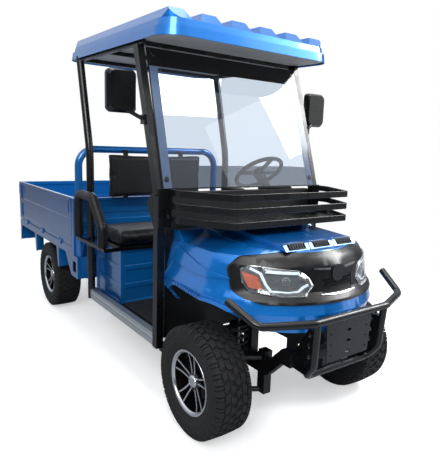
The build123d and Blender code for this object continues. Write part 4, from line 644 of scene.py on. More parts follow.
# Pressed steel takes the deeper blue, and the moulded roof, body and hood a lighter one. The gap is partly
# the two substrates and partly painted light: the deeper blue paints shade onto the seat box and bed, the
# lighter one paints light onto the hood and roof.
blue_paint = clear_over_blue("metallic_blue_paint_shaded_tone", "#0a6ab6", "#043868", 0.06)
blue_skin = clear_over_blue("metallic_blue_on_plastic_lit_tone", "#0b7cd6", "#065296", 0.06)
for node, slot, coat, bevel in (
    ("roof", "blue_plastic", blue_skin, 0.006),
    ("front_body", "blue_plastic", blue_skin, 0.003),
    ("hood", "blue_plastic", blue_skin, 0.002),
    ("seat_box", "blue_paint", blue_paint, 0.003),
    ("bed_floor", "blue_paint", blue_paint, 0.0015),
    ("bed_skirts", "blue_paint", blue_paint, 0.0015),
    ("bed_front_wall", "blue_paint", blue_paint, 0.002),
    ("bed_hoop", "blue_paint", blue_paint, 0.0015),
    ("gate_right", "blue_paint", blue_paint, 0.002),
    ("gate_left", "blue_paint", blue_paint, 0.002),
    ("tailgate", "blue_paint", blue_paint, 0.002),
):
    rounded(node, node + "_painted", [coat], bevel)


# Nose trim: the mask and the hood's louvres are moulded in black plastic and clipped in. A bright
# strip runs out from each side of the bare round disc, another under the mesh, which has a black tray
# behind it. A pale grey rod along each louvre fin's edge is a painted highlight: the shine of light on
# the black fins' edges.
REARWARD = Vector((0, 1, 0))
def outside_of(*nodes):
    """The faces of some CAD pieces, to lay trim on."""
    work = bmesh.new()
    for node in nodes:
        work.from_mesh(NODES[node].data)
    tree = BVHTree.FromBMesh(work)
    work.free()
    return tree


def met(surface, start, way):
    """Where a line first meets a surface, and which way the surface faces there."""
    return surface.ray_cast(Vector(start), Vector(way))[:2]


def laid(surface, x, z, rise):
    """The point seen from the front at (x, z) on a surface, moved out by a rise."""
    spot, normal = met(surface, (x, -3, z), REARWARD)
    return spot + normal * rise


def along(points, share):
    """A point part of the way along a run of points."""
    runs = [math.dist(a, b) for a, b in zip(points, points[1:])]
    left = share * sum(runs)
    for (a, b), run in zip(zip(points, points[1:]), runs):
        if left <= run or b is points[-1]:
            part = min(1.0, left / run)
            return tuple(p + (q - p) * part for p, q in zip(a, b))
        left -= run


def between(lower, upper):
    """Fills the space between two edges."""
    def spot(u, v):
        a = along(lower, u)
        b = along(upper, u)
        return a[0] + (b[0] - a[0]) * v, a[1] + (b[1] - a[1]) * v
    return spot


def beside(path, half):
    """A strip along a path, to both sides of it."""
    def spot(u, v):
        a = along(path, max(0.0, u - 0.01))
        b = along(path, min(1.0, u + 0.01))
        run = math.dist(a, b)
        here = along(path, u)
        side = half * (2 * v - 1)
        return here[0] + (b[1] - a[1]) / run * side, here[1] - (b[0] - a[0]) / run * side
    return spot


def quilt(name, surface, spot, rise, thick, coat, across=24, up=6, wave=None, sides=(-1, 1)):
    """A panel laid on a surface as seen from the front, with a thickness, and ribs where a wave is given."""
    work = bmesh.new()
    for side in sides:
        sheets = []
        for depth in (0.0, thick):
            rows = []
            for k in range(up + 1):
                row = []
                for m in range(across + 1):
                    u = m / across
                    v = k / up
                    x, z = spot(u, v)
                    lift = rise - depth + (wave(u, v) if wave and not depth else 0.0)
                    row.append(work.verts.new(laid(surface, side * x, z, lift)))
                rows.append(row)
            sheets.append(rows)
        front, rear = sheets
        for rows in sheets:
            for k in range(up):
                for m in range(across):
                    work.faces.new((rows[k][m], rows[k][m + 1], rows[k + 1][m + 1], rows[k + 1][m]))
        for m in range(across):
            for k in (0, up):
                work.faces.new((front[k][m], front[k][m + 1], rear[k][m + 1], rear[k][m]))
        for k in range(up):
            for m in (0, across):
                work.faces.new((front[k][m], front[k + 1][m], rear[k + 1][m], rear[k][m]))
    return settle(shown(name, ended(work, name), coat), 40.0)


def moulded(name, code, low, high, grain, deep):
    """Moulded plastic: a fine spark-eroded grain, and a sheen that handling makes uneven, by 140 mm."""
    made, tree = blank(name)
    place = add(tree, "ShaderNodeTexCoord").outputs["Object"]
    grit = add(tree, "ShaderNodeTexNoise", {"Scale": 1 / grain, "Detail": 2.0}, {"Vector": place})
    cloud = add(tree, "ShaderNodeTexNoise", {"Scale": 7.0, "Detail": 5.0}, {"Vector": place})
    sheen = add(tree, "ShaderNodeMapRange", {1: 0.3, 2: 0.7, 3: low, 4: high}, {0: cloud})
    bump = add(tree, "ShaderNodeBump", {"Strength": 0.3, "Distance": deep}, {"Height": grit})
    body = add(tree, "ShaderNodeBsdfPrincipled", {"Base Color": linear(code), "IOR": 1.49},
               {"Roughness": sheen, "Normal": bump})
    add(tree, "ShaderNodeOutputMaterial", feeds={"Surface": body})
    return made


def tube(name, points, radius, coat, closed=False, sides=10):
    """A round tube along a run of points, with closed ends."""
    work = bmesh.new()
    rings = []
    count = len(points)
    side = None
    for number, spot in enumerate(points):
        before = points[number - 1] if number or closed else spot
        after = points[(number + 1) % count] if number + 1 < count or closed else spot
        way = (after - before).normalized()
        side = way.orthogonal() if side is None else side - way * side.dot(way)
        side.normalize()
        other = way.cross(side)
        ring = []
        for k in range(sides):
            angle = 2 * math.pi * k / sides
            ring.append(work.verts.new(spot + (side * math.cos(angle) + other * math.sin(angle)) * radius))
        rings.append(ring)
    for number in range(count if closed else count - 1):
        here = rings[number]
        after = rings[(number + 1) % count]
        for k in range(sides):
            m = (k + 1) % sides
            work.faces.new((here[k], here[m], after[m], after[k]))
    if not closed:
        work.faces.new(rings[0])
        work.faces.new(rings[-1])
    return settle(shown(name, ended(work, name), coat), 50.0)


# ABS for the mask: satin black, its grain 0.9 mm. The grained trim is rougher, the louvres are glossy.
mask_black = moulded("mask_satin_black", "#0b0b0c", 0.26, 0.40, 0.0009, 0.0001)
grained_black = moulded("grained_black_plastic", "#0d0e0f", 0.34, 0.5, 0.0016, 0.0002)
louvre_black = moulded("louvre_gloss_black", "#0a0b0c", 0.12, 0.2, 0.0016, 0.00005)
# Vacuum-plated ABS: the strips mirror the sky, hazed in patches of 12 mm.
bright_strip = polished("bright_trim_strip", metal("#eceef0"), 0.08, 0.2, 80.0, 3.0)

BODY = outside_of("front_body")
MASK_RISE = 0.009
rounded("front_mask", "nose_mask", [mask_black], 0.0015)
rounded("hood_vents", "hood_louvres", [louvre_black], 0.0009)


def row_tree():
    """Repeats a piece in a straight row. Inputs: the piece, how many, the step between them, its material."""
    tree, given = opened("row_of_pieces", Piece="Geometry", Count="Int", Step="Vector", Coat="Material")
    line = add(tree, "GeometryNodeMeshLine", feeds={"Count": given["Count"], "Offset": given["Step"]},
               mode="OFFSET")
    return repeated(tree, given, line, given["Piece"])


ROW = row_tree()
VENT_PITCH = 0.174
VENT_FINS = 8
FIN_W = 0.004
FIN_RUN = 0.021
FIN_FALL = 0.025
# Painted highlight: pale grey plastic with a low shine, laid along the fins' edges where light would shine on
# the black.
painted_highlight_edge = moulded("louvre_painted_highlight_edge", "#7c8288", 0.2, 0.32, 0.002, 0.0001)
low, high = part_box("hood_vents")
edges = []
# Each fin's sloped top edge gets a thin pale rod, repeated along the vent: a painted highlight.
for vent in (-1, 0, 1):
    left = low.x + VENT_PITCH * (vent + 1) + FIN_W / 2
    right = high.x - VENT_PITCH * (1 - vent) - FIN_W / 2
    ridge = [Vector((left, low.y, high.z - FIN_FALL)), Vector((left, low.y + FIN_RUN, high.z)),
             Vector((left, high.y - FIN_W, high.z))]
    fin = tube("fin_edge", ridge, FIN_W * 0.45, painted_highlight_edge, sides=8)
    step = ((right - left) / (VENT_FINS - 1), 0, 0)
    edges.append(grown(fin, ROW, Count=VENT_FINS, Step=step, Coat=painted_highlight_edge))
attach(joined("louvre_edges", edges), "chassis")
DISC_STRIP = ([(0.052, 0.902), (0.148, 0.908)], [(0.050, 0.912), (0.150, 0.9185)])
MESH_STRIP = ([(-0.122, 0.7805), (0.0, 0.777), (0.122, 0.7805)],
              [(-0.122, 0.7855), (0.0, 0.782), (0.122, 0.7855)])
TRAY = ([(-0.112, 0.785), (0.112, 0.785)], [(-0.112, 0.877), (0.112, 0.877)])
strips = quilt("disc_strips", BODY, between(*DISC_STRIP), MASK_RISE + 0.0025, 0.003, bright_strip, up=2)
line = quilt("mesh_strip", BODY, between(*MESH_STRIP), MASK_RISE + 0.002, 0.003, bright_strip, up=2,
             sides=(1,))
tray = quilt("mesh_tray", BODY, between(*TRAY), 0.0009, 0.0005, mask_black, up=2, sides=(1,))
for piece in (strips, line, tray):
    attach(piece, "chassis")

# Headlamps: a clear moulded lens over a dark bright-plated bowl. It holds a ribbed amber
# indicator at the outer end, a white light strip bent round the bowl, and a projector.
LENS_RISE = 0.016
SHELL = 0.0022
AMBER = ([(0.372, 0.810), (0.424, 0.822)], [(0.388, 0.876), (0.438, 0.893)])
LIGHT_PATH = [(0.410, 0.911), (0.376, 0.890), (0.361, 0.838), (0.343, 0.806), (0.276, 0.800), (0.231, 0.805),
              (0.207, 0.826), (0.181, 0.838)]
UPPER_BAND = ([(0.360, 0.893), (0.300, 0.890), (0.215, 0.886)],
              [(0.352, 0.907), (0.296, 0.904), (0.222, 0.902)])
BOWL = ([(0.345, 0.816), (0.225, 0.816)], [(0.357, 0.886), (0.212, 0.878)])
BOWL_MIDDLE = 0.281
PROJECTOR_Z = 0.856
PROJECTOR_SINK = 0.0045
BASE_SHELL = 0.0006

# Clear polycarbonate, moulded: seen through without haze, with a shine along its edges.
clear_lens, tree = blank("clear_lamp_lens")
pane = add(tree, "ShaderNodeBsdfPrincipled", {"Base Color": linear("#f6fafb"), "IOR": 1.585, "Roughness": 0.0,
                                              "Transmission Weight": 1.0})
add(tree, "ShaderNodeOutputMaterial", feeds={"Surface": pane})
# Vapour-plated bowl: a dark grey mirror broken up by facets 12 mm across.
lamp_plate, tree = blank("dark_plated_reflector")
place = add(tree, "ShaderNodeTexCoord").outputs["Object"]
facets = add(tree, "ShaderNodeTexVoronoi", {"Scale": 85.0}, {"Vector": place})
bump = add(tree, "ShaderNodeBump", {"Strength": 0.5, "Distance": 0.002}, {"Height": facets})
haze = add(tree, "ShaderNodeMapRange", {3: 0.1, 4: 0.24}, {0: facets})
bright = add(tree, "ShaderNodeBsdfPrincipled", {"Base Color": linear("#6d7175"), "Metallic": 1.0},
             {"Normal": bump, "Roughness": haze})
add(tree, "ShaderNodeOutputMaterial", feeds={"Surface": bright})
# Amber acrylic over small prisms: a deep orange that glows a little, mottled every 17 mm.
amber, tree = blank("amber_indicator")
place = add(tree, "ShaderNodeTexCoord").outputs["Object"]
cloud = add(tree, "ShaderNodeTexNoise", {"Scale": 60.0, "Detail": 3.0}, {"Vector": place})
tone = add(tree, "ShaderNodeMix", {6: linear("#c9431c"), 7: linear("#f07a48")}, {0: cloud},
           data_type="RGBA")
dull = add(tree, "ShaderNodeMapRange", {3: 0.15, 4: 0.3}, {0: cloud})
body = add(tree, "ShaderNodeBsdfPrincipled", {"IOR": 1.5, "Emission Strength": 0.12},
           {"Base Color": tone.outputs[2], "Emission Color": tone.outputs[2], "Roughness": dull})
add(tree, "ShaderNodeOutputMaterial", feeds={"Surface": body})
# Frosted light guide: even, milky white, lit a little from within.
light_strip = polished("white_light_strip", {
    "Base Color": linear("#eef4fa"), "IOR": 1.5,
    "Emission Color": linear("#e8f2ff"), "Emission Strength": 0.55,
}, 0.2, 0.35, 120.0, 2.0)


def lamp_shell(name, inner, thick, coat):
    """The lens without its inner face, or that inner face alone, as a thin wall."""
    work = bmesh.new()
    work.from_mesh(NODES["headlamps"].data)
    bmesh.ops.remove_doubles(work, verts=work.verts, dist=MERGE)
    near = [f for f in work.faces if BODY.find_nearest(f.calc_center_median())[3] < LENS_RISE / 4]
    dropped = [f for f in work.faces if f not in near] if inner else near
    bmesh.ops.delete(work, geom=dropped, context="FACES")
    shell = shown(name, ended(work, name, outward=False), coat)
    wall = shell.modifiers.new("wall", "SOLIDIFY")
    wall.thickness = thick
    wall.offset = -1
    return settle(shell, 30.0)


lens = lamp_shell("lamp_lenses", False, SHELL, clear_lens)
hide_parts("headlamps")
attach(lens, "chassis")
base = lamp_shell("lamp_bases", True, BASE_SHELL, lamp_plate)
# Each part of the lamp has its outline, how far its face stands off the body, and its thickness.
bowl = quilt("lamp_bowls", BODY, between(*BOWL), 0.0095, 0.0008, lamp_plate, across=28, up=14,
             wave=lambda u, v: -0.0068 * (math.sin(math.pi * u) * math.sin(math.pi * v)) ** 0.5)
band = quilt("lamp_upper_bands", BODY, between(*UPPER_BAND), 0.0105, 0.003, light_strip, across=72, up=2,
             wave=lambda u, v: 0.0005 * math.cos(2 * math.pi * 18 * u))
strip = quilt("lamp_light_strips", BODY, beside(LIGHT_PATH, 0.0056), 0.0122, 0.004, light_strip,
              across=60, up=4, wave=lambda u, v: 0.0008 * math.sin(math.pi * v))
indicator = quilt("lamp_indicators", BODY, between(*AMBER), 0.0105, 0.003, amber, across=60, up=14,
                  wave=lambda u, v: 0.0009 * math.cos(14 * math.pi * v) + 0.0005 * math.cos(20 * math.pi * u))
PROJECTOR_RING = [(-0.004, 0.0175), (0.006, 0.0205), (0.008, 0.0195), (0.0082, 0.0170), (0.004, 0.0160)]
PROJECTOR_GLASS = [(0.002, 0.0162), (0.006, 0.0130), (0.0078, 0.0080), (0.0084, 0.0004), (0.001, 0.0004)]
projector = []
for side in (-1, 1):
    for name, line, coat in (
        ("ring", PROJECTOR_RING, chrome), ("glass", PROJECTOR_GLASS, clear_lens),
    ):
        mesh = lathe("projector_" + name, line, 48)
        spot, ahead = met(BODY, (side * BOWL_MIDDLE, -3, PROJECTOR_Z), REARWARD)
        spin = Vector((1, 0, 0)).rotation_difference(ahead).to_matrix().to_4x4()
        mesh.transform(Matrix.Translation(spot + ahead * PROJECTOR_SINK) @ spin)
        projector.append(shown("projector_" + name, mesh, coat))
        smoothed(projector[-1])
projector = joined("lamp_projectors", projector)
for piece in (base, bowl, band, strip, indicator, projector):
    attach(piece, "chassis")

# Windshield: one flat pane of laminated glass, held by four screws with round black caps. A black
# band is printed along its top edge and a narrow one round the others, and inside the printed sides
# runs a strip of blue-grey sealing film. The eye sees a faint blue pane with hardly any haze.
PRINT_TOP = 0.104
PRINT_SIDE = 0.008
SEAL_W = 0.052
SPREAD_LOW = 0.588
SPREAD_TOP = 0.572
low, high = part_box("windshield")
windshield_glass, tree = blank("windshield_glass")
place = add(tree, "ShaderNodeTexCoord").outputs["Object"]
parts = add(tree, "ShaderNodeSeparateXYZ", feeds={0: place})
out = add(tree, "ShaderNodeMath", feeds={0: parts.outputs["X"]}, operation="ABSOLUTE")
edge = add(tree, "ShaderNodeMapRange", {
    1: low.z, 2: high.z, 3: SPREAD_LOW - PRINT_SIDE, 4: SPREAD_TOP - PRINT_SIDE,
}, {0: parts.outputs["Z"]})
at_side = add(tree, "ShaderNodeMath", feeds={0: out, 1: edge}, operation="GREATER_THAN")
at_top = add(tree, "ShaderNodeMath", {1: high.z - PRINT_TOP}, {0: parts.outputs["Z"]},
             operation="GREATER_THAN")
at_foot = add(tree, "ShaderNodeMath", {1: low.z + PRINT_SIDE}, {0: parts.outputs["Z"]}, operation="LESS_THAN")
first = add(tree, "ShaderNodeMath", feeds={0: at_side, 1: at_top}, operation="MAXIMUM")
printed = add(tree, "ShaderNodeMath", feeds={0: first, 1: at_foot}, operation="MAXIMUM")
film = add(tree, "ShaderNodeTexNoise", {"Scale": 2.2, "Detail": 3.0}, {"Vector": place})
wiped = add(tree, "ShaderNodeMapRange", {1: 0.4, 2: 0.8, 3: 0.0, 4: 0.012}, {0: film})
pane = add(tree, "ShaderNodeBsdfPrincipled", {
    "Base Color": linear("#d3dfec"), "IOR": 1.52, "Transmission Weight": 1.0,
}, {"Roughness": wiped})
ink = add(tree, "ShaderNodeBsdfPrincipled", {"Base Color": linear("#0a0a0b"), "IOR": 1.52, "Roughness": 0.09})
inner = add(tree, "ShaderNodeMath", {1: SEAL_W}, {0: edge}, operation="SUBTRACT")
at_seal = add(tree, "ShaderNodeMath", feeds={0: out, 1: inner}, operation="GREATER_THAN")
seal = add(tree, "ShaderNodeBsdfPrincipled", {"Base Color": linear("#5d6f8c"), "IOR": 1.45, "Roughness": 0.16,
                                              "Transmission Weight": 0.35})
edged = add(tree, "ShaderNodeMixShader", feeds={0: at_seal, 1: pane, 2: seal})
both = add(tree, "ShaderNodeMixShader", feeds={0: printed, 1: edged, 2: ink})
add(tree, "ShaderNodeOutputMaterial", feeds={"Surface": both})
rounded("windshield", "windshield_pane", [windshield_glass], 0.001, segments=1)

# Seat: a foam cushion and a foam backrest on plywood boards, in black grained vinyl with piped
# edges. Simulated cloth swells each cover over its foam.
FOAM_IN = 0.011
VOXEL = 0.006
PRESSURE = 4.0
SWELL = 0.019
SWELL_FRAMES = 16
TENSION = 30.0
BENDING = 3.0
EASE = 8
PIPE_R = 0.0026
PIPE_STEPS = 220

# Embossed vinyl: near black with a soft sheen, a 2.2 mm grain and creases of about 40 mm.
vinyl, tree = blank("black_grained_vinyl")
place = add(tree, "ShaderNodeTexCoord").outputs["Object"]
grain = add(tree, "ShaderNodeTexVoronoi", {"Scale": 1 / 0.0022}, {"Vector": place})
crease = add(tree, "ShaderNodeTexNoise", {"Scale": 26.0, "Detail": 6.0, "Distortion": 1.2},
             {"Vector": place})
worn = add(tree, "ShaderNodeTexNoise", {"Scale": 5.0, "Detail": 4.0}, {"Vector": place})
tone = add(tree, "ShaderNodeMix", {6: linear("#050506"), 7: linear("#0c0d10")}, {0: worn},
           data_type="RGBA")
sheen = add(tree, "ShaderNodeMapRange", {1: 0.3, 2: 0.7, 3: 0.38, 4: 0.56}, {0: worn})
fine = add(tree, "ShaderNodeBump", {"Strength": 0.35, "Distance": 0.0005}, {"Height": grain})
folds = add(tree, "ShaderNodeBump", {"Strength": 0.12, "Distance": 0.003},
            {"Height": crease, "Normal": fine})
skin = add(tree, "ShaderNodeBsdfPrincipled", {"IOR": 1.42}, {
    "Base Color": tone.outputs[2], "Roughness": sheen, "Normal": folds,
})
add(tree, "ShaderNodeOutputMaterial", feeds={"Surface": skin})


def stuffed(node, name, inset, swell, voxel=VOXEL):
    """A sewn cover swollen over its foam: a smaller copy of the solid, blown out by cloth under pressure."""
    low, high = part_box(node)
    middle = (low + high) / 2
    work = bmesh.new()
    work.from_mesh(NODES[node].data)
    bmesh.ops.remove_doubles(work, verts=work.verts, dist=MERGE)
    for vert in work.verts:
        for axis in range(3):
            share = 1 - 2 * inset / (high[axis] - low[axis])
            vert.co[axis] = middle[axis] + (vert.co[axis] - middle[axis]) * share
    piece = shown(name, ended(work, name, outward=False), vinyl)
    even = piece.modifiers.new("even", "REMESH")
    even.mode = "VOXEL"
    even.voxel_size = voxel
    settle(piece, 60.0)
    rest = [vertex.co.copy() for vertex in piece.data.vertices]
    cover = piece.modifiers.new("cover", "CLOTH")
    cover.settings.use_pressure = True
    cover.settings.uniform_pressure_force = PRESSURE
    cover.settings.effector_weights.gravity = 0.0
    cover.settings.quality = 4
    cover.settings.tension_stiffness = TENSION
    cover.settings.bending_stiffness = BENDING
    cover.collision_settings.use_collision = False
    scene = bpy.context.scene
    for number in range(1, SWELL_FRAMES + 1):
        scene.frame_set(number)
    graph = bpy.context.evaluated_depsgraph_get()
    blown = piece.evaluated_get(graph).data
    moved = [vertex.co.copy() for vertex in blown.vertices]
    piece.modifiers.clear()
    scene.frame_set(1)
    for vertex, start, end in zip(piece.data.vertices, rest, moved):
        step = end - start
        spot = start + step * min(1.0, swell / max(step.length, 1e-6))
        for axis in range(3):
            spot[axis] = min(max(spot[axis], low[axis]), high[axis])
        vertex.co = spot
    eased = piece.modifiers.new("eased", "SMOOTH")
    eased.factor = 0.5
    eased.iterations = EASE
    smooth = piece.modifiers.new("smooth", "SUBSURF")
    smooth.levels = 1
    smooth.render_levels = 1
    settle(piece, 60.0)
    return piece


def piped(piece, name, axis, level, slope=0.0):
    """A piped seam round a cushion, square to an axis, at a level along it that may slope."""
    work = bmesh.new()
    work.from_mesh(piece.data)
    skin = BVHTree.FromBMesh(work)
    low = Vector([min(v.co[k] for v in work.verts) for k in range(3)])
    high = Vector([max(v.co[k] for v in work.verts) for k in range(3)])
    work.free()
    middle = (low + high) / 2
    one, two = [k for k in range(3) if k != axis]
    p = (high[one] - low[one]) / 2
    q = (high[two] - low[two]) / 2
    points = []
    for number in range(PIPE_STEPS):
        way = Vector((0, 0, 0))
        way[one], way[two] = along([(-p, -q), (p, -q), (p, q), (-p, q), (-p, -q)], number / PIPE_STEPS)
        start = middle.copy()
        start[axis] = level + slope * (way[two] if axis == 2 else 0.0)
        hit = met(skin, start + way * 1.4, -way.normalized())[0]
        if hit is not None:
            points.append(hit)
    return tube(name, points, PIPE_R, vinyl, closed=True, sides=8)


low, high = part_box("seat_cushion")
CUSHION_FALL = -0.047
cushion = stuffed("seat_cushion", "seat_cushion_cover", FOAM_IN, SWELL)
top_pipe = piped(cushion, "cushion_top_pipe", 2, high.z - 0.026, CUSHION_FALL)
low_pipe = piped(cushion, "cushion_low_pipe", 2, low.z + 0.016)
cushion = joined("seat_cushion_sewn", [cushion, top_pipe, low_pipe])
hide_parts("seat_cushion")
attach(cushion, "chassis")
low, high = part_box("seat_backrest")
rest = stuffed("seat_backrest", "seat_backrest_cover", FOAM_IN * 0.8, SWELL * 0.7)
front_pipe = piped(rest, "backrest_front_pipe", 1, low.y + 0.014)
rear_pipe = piped(rest, "backrest_rear_pipe", 1, high.y - 0.014)
rest = joined("seat_backrest_sewn", [rest, front_pipe, rear_pipe])
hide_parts("seat_backrest")
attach(rest, "chassis")

# Hip restraints: at each side an arch of steel tube, padded with foam under a sewn vinyl cover and
# bolted to the seat frame. A short belt stalk with a white latch in its buckle stands inside each arch.
HIP_IN = 0.003
HIP_SWELL = 0.006
pads = stuffed("hip_restraints", "hip_restraint_pads", HIP_IN, HIP_SWELL, 0.005)
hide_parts("hip_restraints")
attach(pads, "chassis")
BUCKLE_X = 0.598
BUCKLE_Y = -0.215
STALK_FOOT = 0.79
STALK_TOP = 0.93
# Nylon and ABS, moulded: a dull black stalk and buckle, and a white latch with a low shine.
belt_black = moulded("belt_black_plastic", "#141516", 0.35, 0.5, 0.0012, 0.0002)
white_latch = moulded("white_latch_plastic", "#e6e7e6", 0.3, 0.42, 0.0015, 0.0001)


def brick(work, low, high, bevel):
    """Adds a box between two corners, with its edges taken off."""
    made = bmesh.ops.create_cube(work, size=1.0)["verts"]
    for vert in made:
        for axis in range(3):
            vert.co[axis] = low[axis] if vert.co[axis] < 0 else high[axis]
    if bevel:
        edges = list({edge for vert in made for edge in vert.link_edges})
        bmesh.ops.bevel(work, geom=edges, offset=bevel, segments=2, affect="EDGES", profile=0.6)


def bricks(name, boxes, coat, bevel):
    """A piece made of rounded boxes, each given by two corners."""
    work = bmesh.new()
    for low, high in boxes:
        brick(work, low, high, bevel)
    return settle(shown(name, ended(work, name, outward=False), coat), 35.0)


def boxed(middle, half):
    """The two corners of a box round a middle."""
    return [tuple(m - h for m, h in zip(middle, half)), tuple(m + h for m, h in zip(middle, half))]


stalks = []
latches = []
for side in (-1, 1):
    x = side * BUCKLE_X
    middle = (STALK_FOOT + STALK_TOP) / 2
    stalks.append(boxed((x, BUCKLE_Y, middle), (0.004, 0.02, STALK_TOP - middle)))
    stalks.append(boxed((x, BUCKLE_Y, STALK_TOP + 0.0225), (0.011, 0.03, 0.0325)))
    latches.append(boxed((x, BUCKLE_Y, STALK_TOP + 0.036), (0.0125, 0.022, 0.014)))
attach(bricks("belt_stalks", stalks, belt_black, 0.0028), "chassis")
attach(bricks("belt_latches", latches, white_latch, 0.002), "chassis")

# Sills and mat: the sills are ribbed aluminium extrusions along each side of the cab floor,
# and the mat between them is black rubber with raised ribs that run fore and aft.
GROOVE_PITCH = 0.011
RIB_PITCH = 0.016
RIB_WIDE = 0.007
RIB_HIGH = 0.0022
RIB_START = 0.02
RIB_END = 0.015

# Extruded aluminium, clear anodised: pale grey, with grooves 11 mm apart drawn as a bump and a haze
# drawn out along the sill.
ribbed_aluminium, tree = blank("ribbed_aluminium")
place = add(tree, "ShaderNodeTexCoord").outputs["Object"]
parts = add(tree, "ShaderNodeSeparateXYZ", feeds={0: place})
across = add(tree, "ShaderNodeMath", feeds={0: parts.outputs["X"], 1: parts.outputs["Z"]}, operation="ADD")
turns = add(tree, "ShaderNodeMath", {1: 2 * math.pi / GROOVE_PITCH}, {0: across},
            operation="MULTIPLY")
wave = add(tree, "ShaderNodeMath", feeds={0: turns}, operation="SINE")
stretch = add(tree, "ShaderNodeMapping", {"Scale": (90.0, 2.0, 90.0)}, {"Vector": place})
marks = add(tree, "ShaderNodeTexNoise", {"Scale": 3.0, "Detail": 4.0}, {"Vector": stretch})
haze = add(tree, "ShaderNodeMapRange", {3: 0.24, 4: 0.46}, {0: marks})
bump = add(tree, "ShaderNodeBump", {"Strength": 0.8, "Distance": 0.0012}, {"Height": wave})
skin = add(tree, "ShaderNodeBsdfPrincipled", metal("#c4c6c8"), {"Roughness": haze, "Normal": bump})
add(tree, "ShaderNodeOutputMaterial", feeds={"Surface": skin})
rounded("sills", "ribbed_sills", [ribbed_aluminium], 0.003)

# Rubber sheet: black and dull, with a fine grain.
mat_rubber = moulded("mat_rubber", "#0c0c0c", 0.6, 0.8, 0.0014, 0.0003)
rounded("floor_mat", "floor_mat_sheet", [mat_rubber], 0.001, segments=1)
low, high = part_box("floor_mat")
first_rib = ((low.x + RIB_START, low.y + RIB_END, high.z - 0.001),
             (low.x + RIB_START + RIB_WIDE, high.y - RIB_END, high.z + RIB_HIGH))
rib = bricks("mat_ribs", [first_rib], mat_rubber, 0.0)
count = int((high.x - low.x - 2 * RIB_END) / RIB_PITCH)
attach(grown(rib, ROW, Count=count, Step=(RIB_PITCH, 0, 0), Coat=mat_rubber), "chassis")

# Dash, column and wheel: black moulded plastic over steel. The dash has a hooded screen ahead of the
# wheel and a row of rocker switches. The pedals have rubber pads, and the battery a plastic case.
WHEEL_X = 0.316
ROCKERS = 4
ROCKER_PITCH = 0.034
# The dash is the dullest of these, the rim's grip is firmer and smoother, and the switches shine.
dash_black = moulded("dash_black_plastic", "#101112", 0.5, 0.68, 0.002, 0.0004)
wheel_black = moulded("steering_wheel_grip", "#0b0b0c", 0.4, 0.55, 0.0012, 0.0003)
for node, coat, slot in (
    ("dashboard", dash_black, "black_plastic"), ("steering_column", dash_black, "black_plastic"),
    ("steering_wheel", wheel_black, "black_plastic"), ("pedals", mat_rubber, "rubber"),
    ("battery_pack", dash_black, "black_plastic"),
):
    rounded(node, node + "_moulded", [coat], 0.004 if node == "dashboard" else 0.0015)
low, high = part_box("dashboard")
screen_hood = boxed((WHEEL_X, low.y + 0.08, high.z), (0.11, 0.05, 0.012))
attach(bricks("dash_screen_hood", [screen_hood], dash_black, 0.008), "chassis")
gloss_switch = moulded("gloss_switch_black", "#0c0c0d", 0.2, 0.32, 0.003, 0.0001)
first_rocker = boxed((-0.048, high.y - 0.002, high.z - 0.065), (0.012, 0.004, 0.02))
rocker = bricks("dash_rockers", [first_rocker], gloss_switch, 0.0015)
rockers = grown(rocker, ROW, Count=ROCKERS, Step=(ROCKER_PITCH, 0, 0), Coat=gloss_switch)
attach(rockers, "chassis")

# Mirrors: satin black shells on short arms clamped to the front pillars, with flat silvered
# glass that faces the driver.
# ABS from a polished mould: satin black, with hardly any grain.
mirror_black = moulded("mirror_satin_black", "#0c0d0e", 0.2, 0.32, 0.004, 0.0001)
# Silvered glass: a clean mirror, dusty in patches of 50 mm.
silvered = polished("silvered_mirror_glass", metal("#dfe3e6"), 0.01, 0.05, 20.0, 3.0)
GLASS_REACH = 0.165
GLASS_LEAST = 0.002
shells = rounded("mirrors", "mirror_shells", [mirror_black, silvered], 0.006, segments=4)
low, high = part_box("mirrors")
for face in shells.data.polygons:
    spot = face.center
    if face.normal.y > 0.9 and abs(spot.x) > high.x - GLASS_REACH and face.area > GLASS_LEAST:
        face.material_index = 1

# Ceiling and straps: a grey moulded liner, clipped under the roof skin, with a small lamp behind the
# windshield's printed band. The steel straps that carry the backrest are powder coated black.
# Polypropylene, moulded: a flat light grey with a fine grain.
liner_grey = moulded("liner_grey_plastic", "#8d9092", 0.5, 0.66, 0.003, 0.0003)
rounded("roof_liner", "roof_liner_moulded", [liner_grey], 0.002)
rounded("backrest_straps", "backrest_strap_bars", [black_coat], 0.001)
LAMP_BODY = ((-0.40, -0.73, 1.985), (-0.30, -0.66, 2.012))
LAMP_PANE = ((-0.365, -0.735, 1.975), (-0.325, -0.70, 1.99))
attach(bricks("ceiling_lamp_body", [LAMP_BODY], grained_black, 0.004), "chassis")
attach(bricks("ceiling_lamp_pane", [LAMP_PANE], white_latch, 0.002), "chassis")

# Springs: coil springs of painted steel wire over black dampers, between the lower arms and
# the towers of the frame.
WIRE_R = 0.0062
COIL_TURNS = 7
COIL_STEPS = COIL_TURNS * 24
COIL_FROM = 0.16
COIL_RUN = 0.72
DAMPER_R = 0.019
ROD_R = 0.0075
SEATS = (0.14, 0.885)
SEAT_THICK = 0.016
# Enamelled spring wire: a greyer black than the frame's.
spring_black = powder_coat("spring_black_paint", "#161617", 0.4)
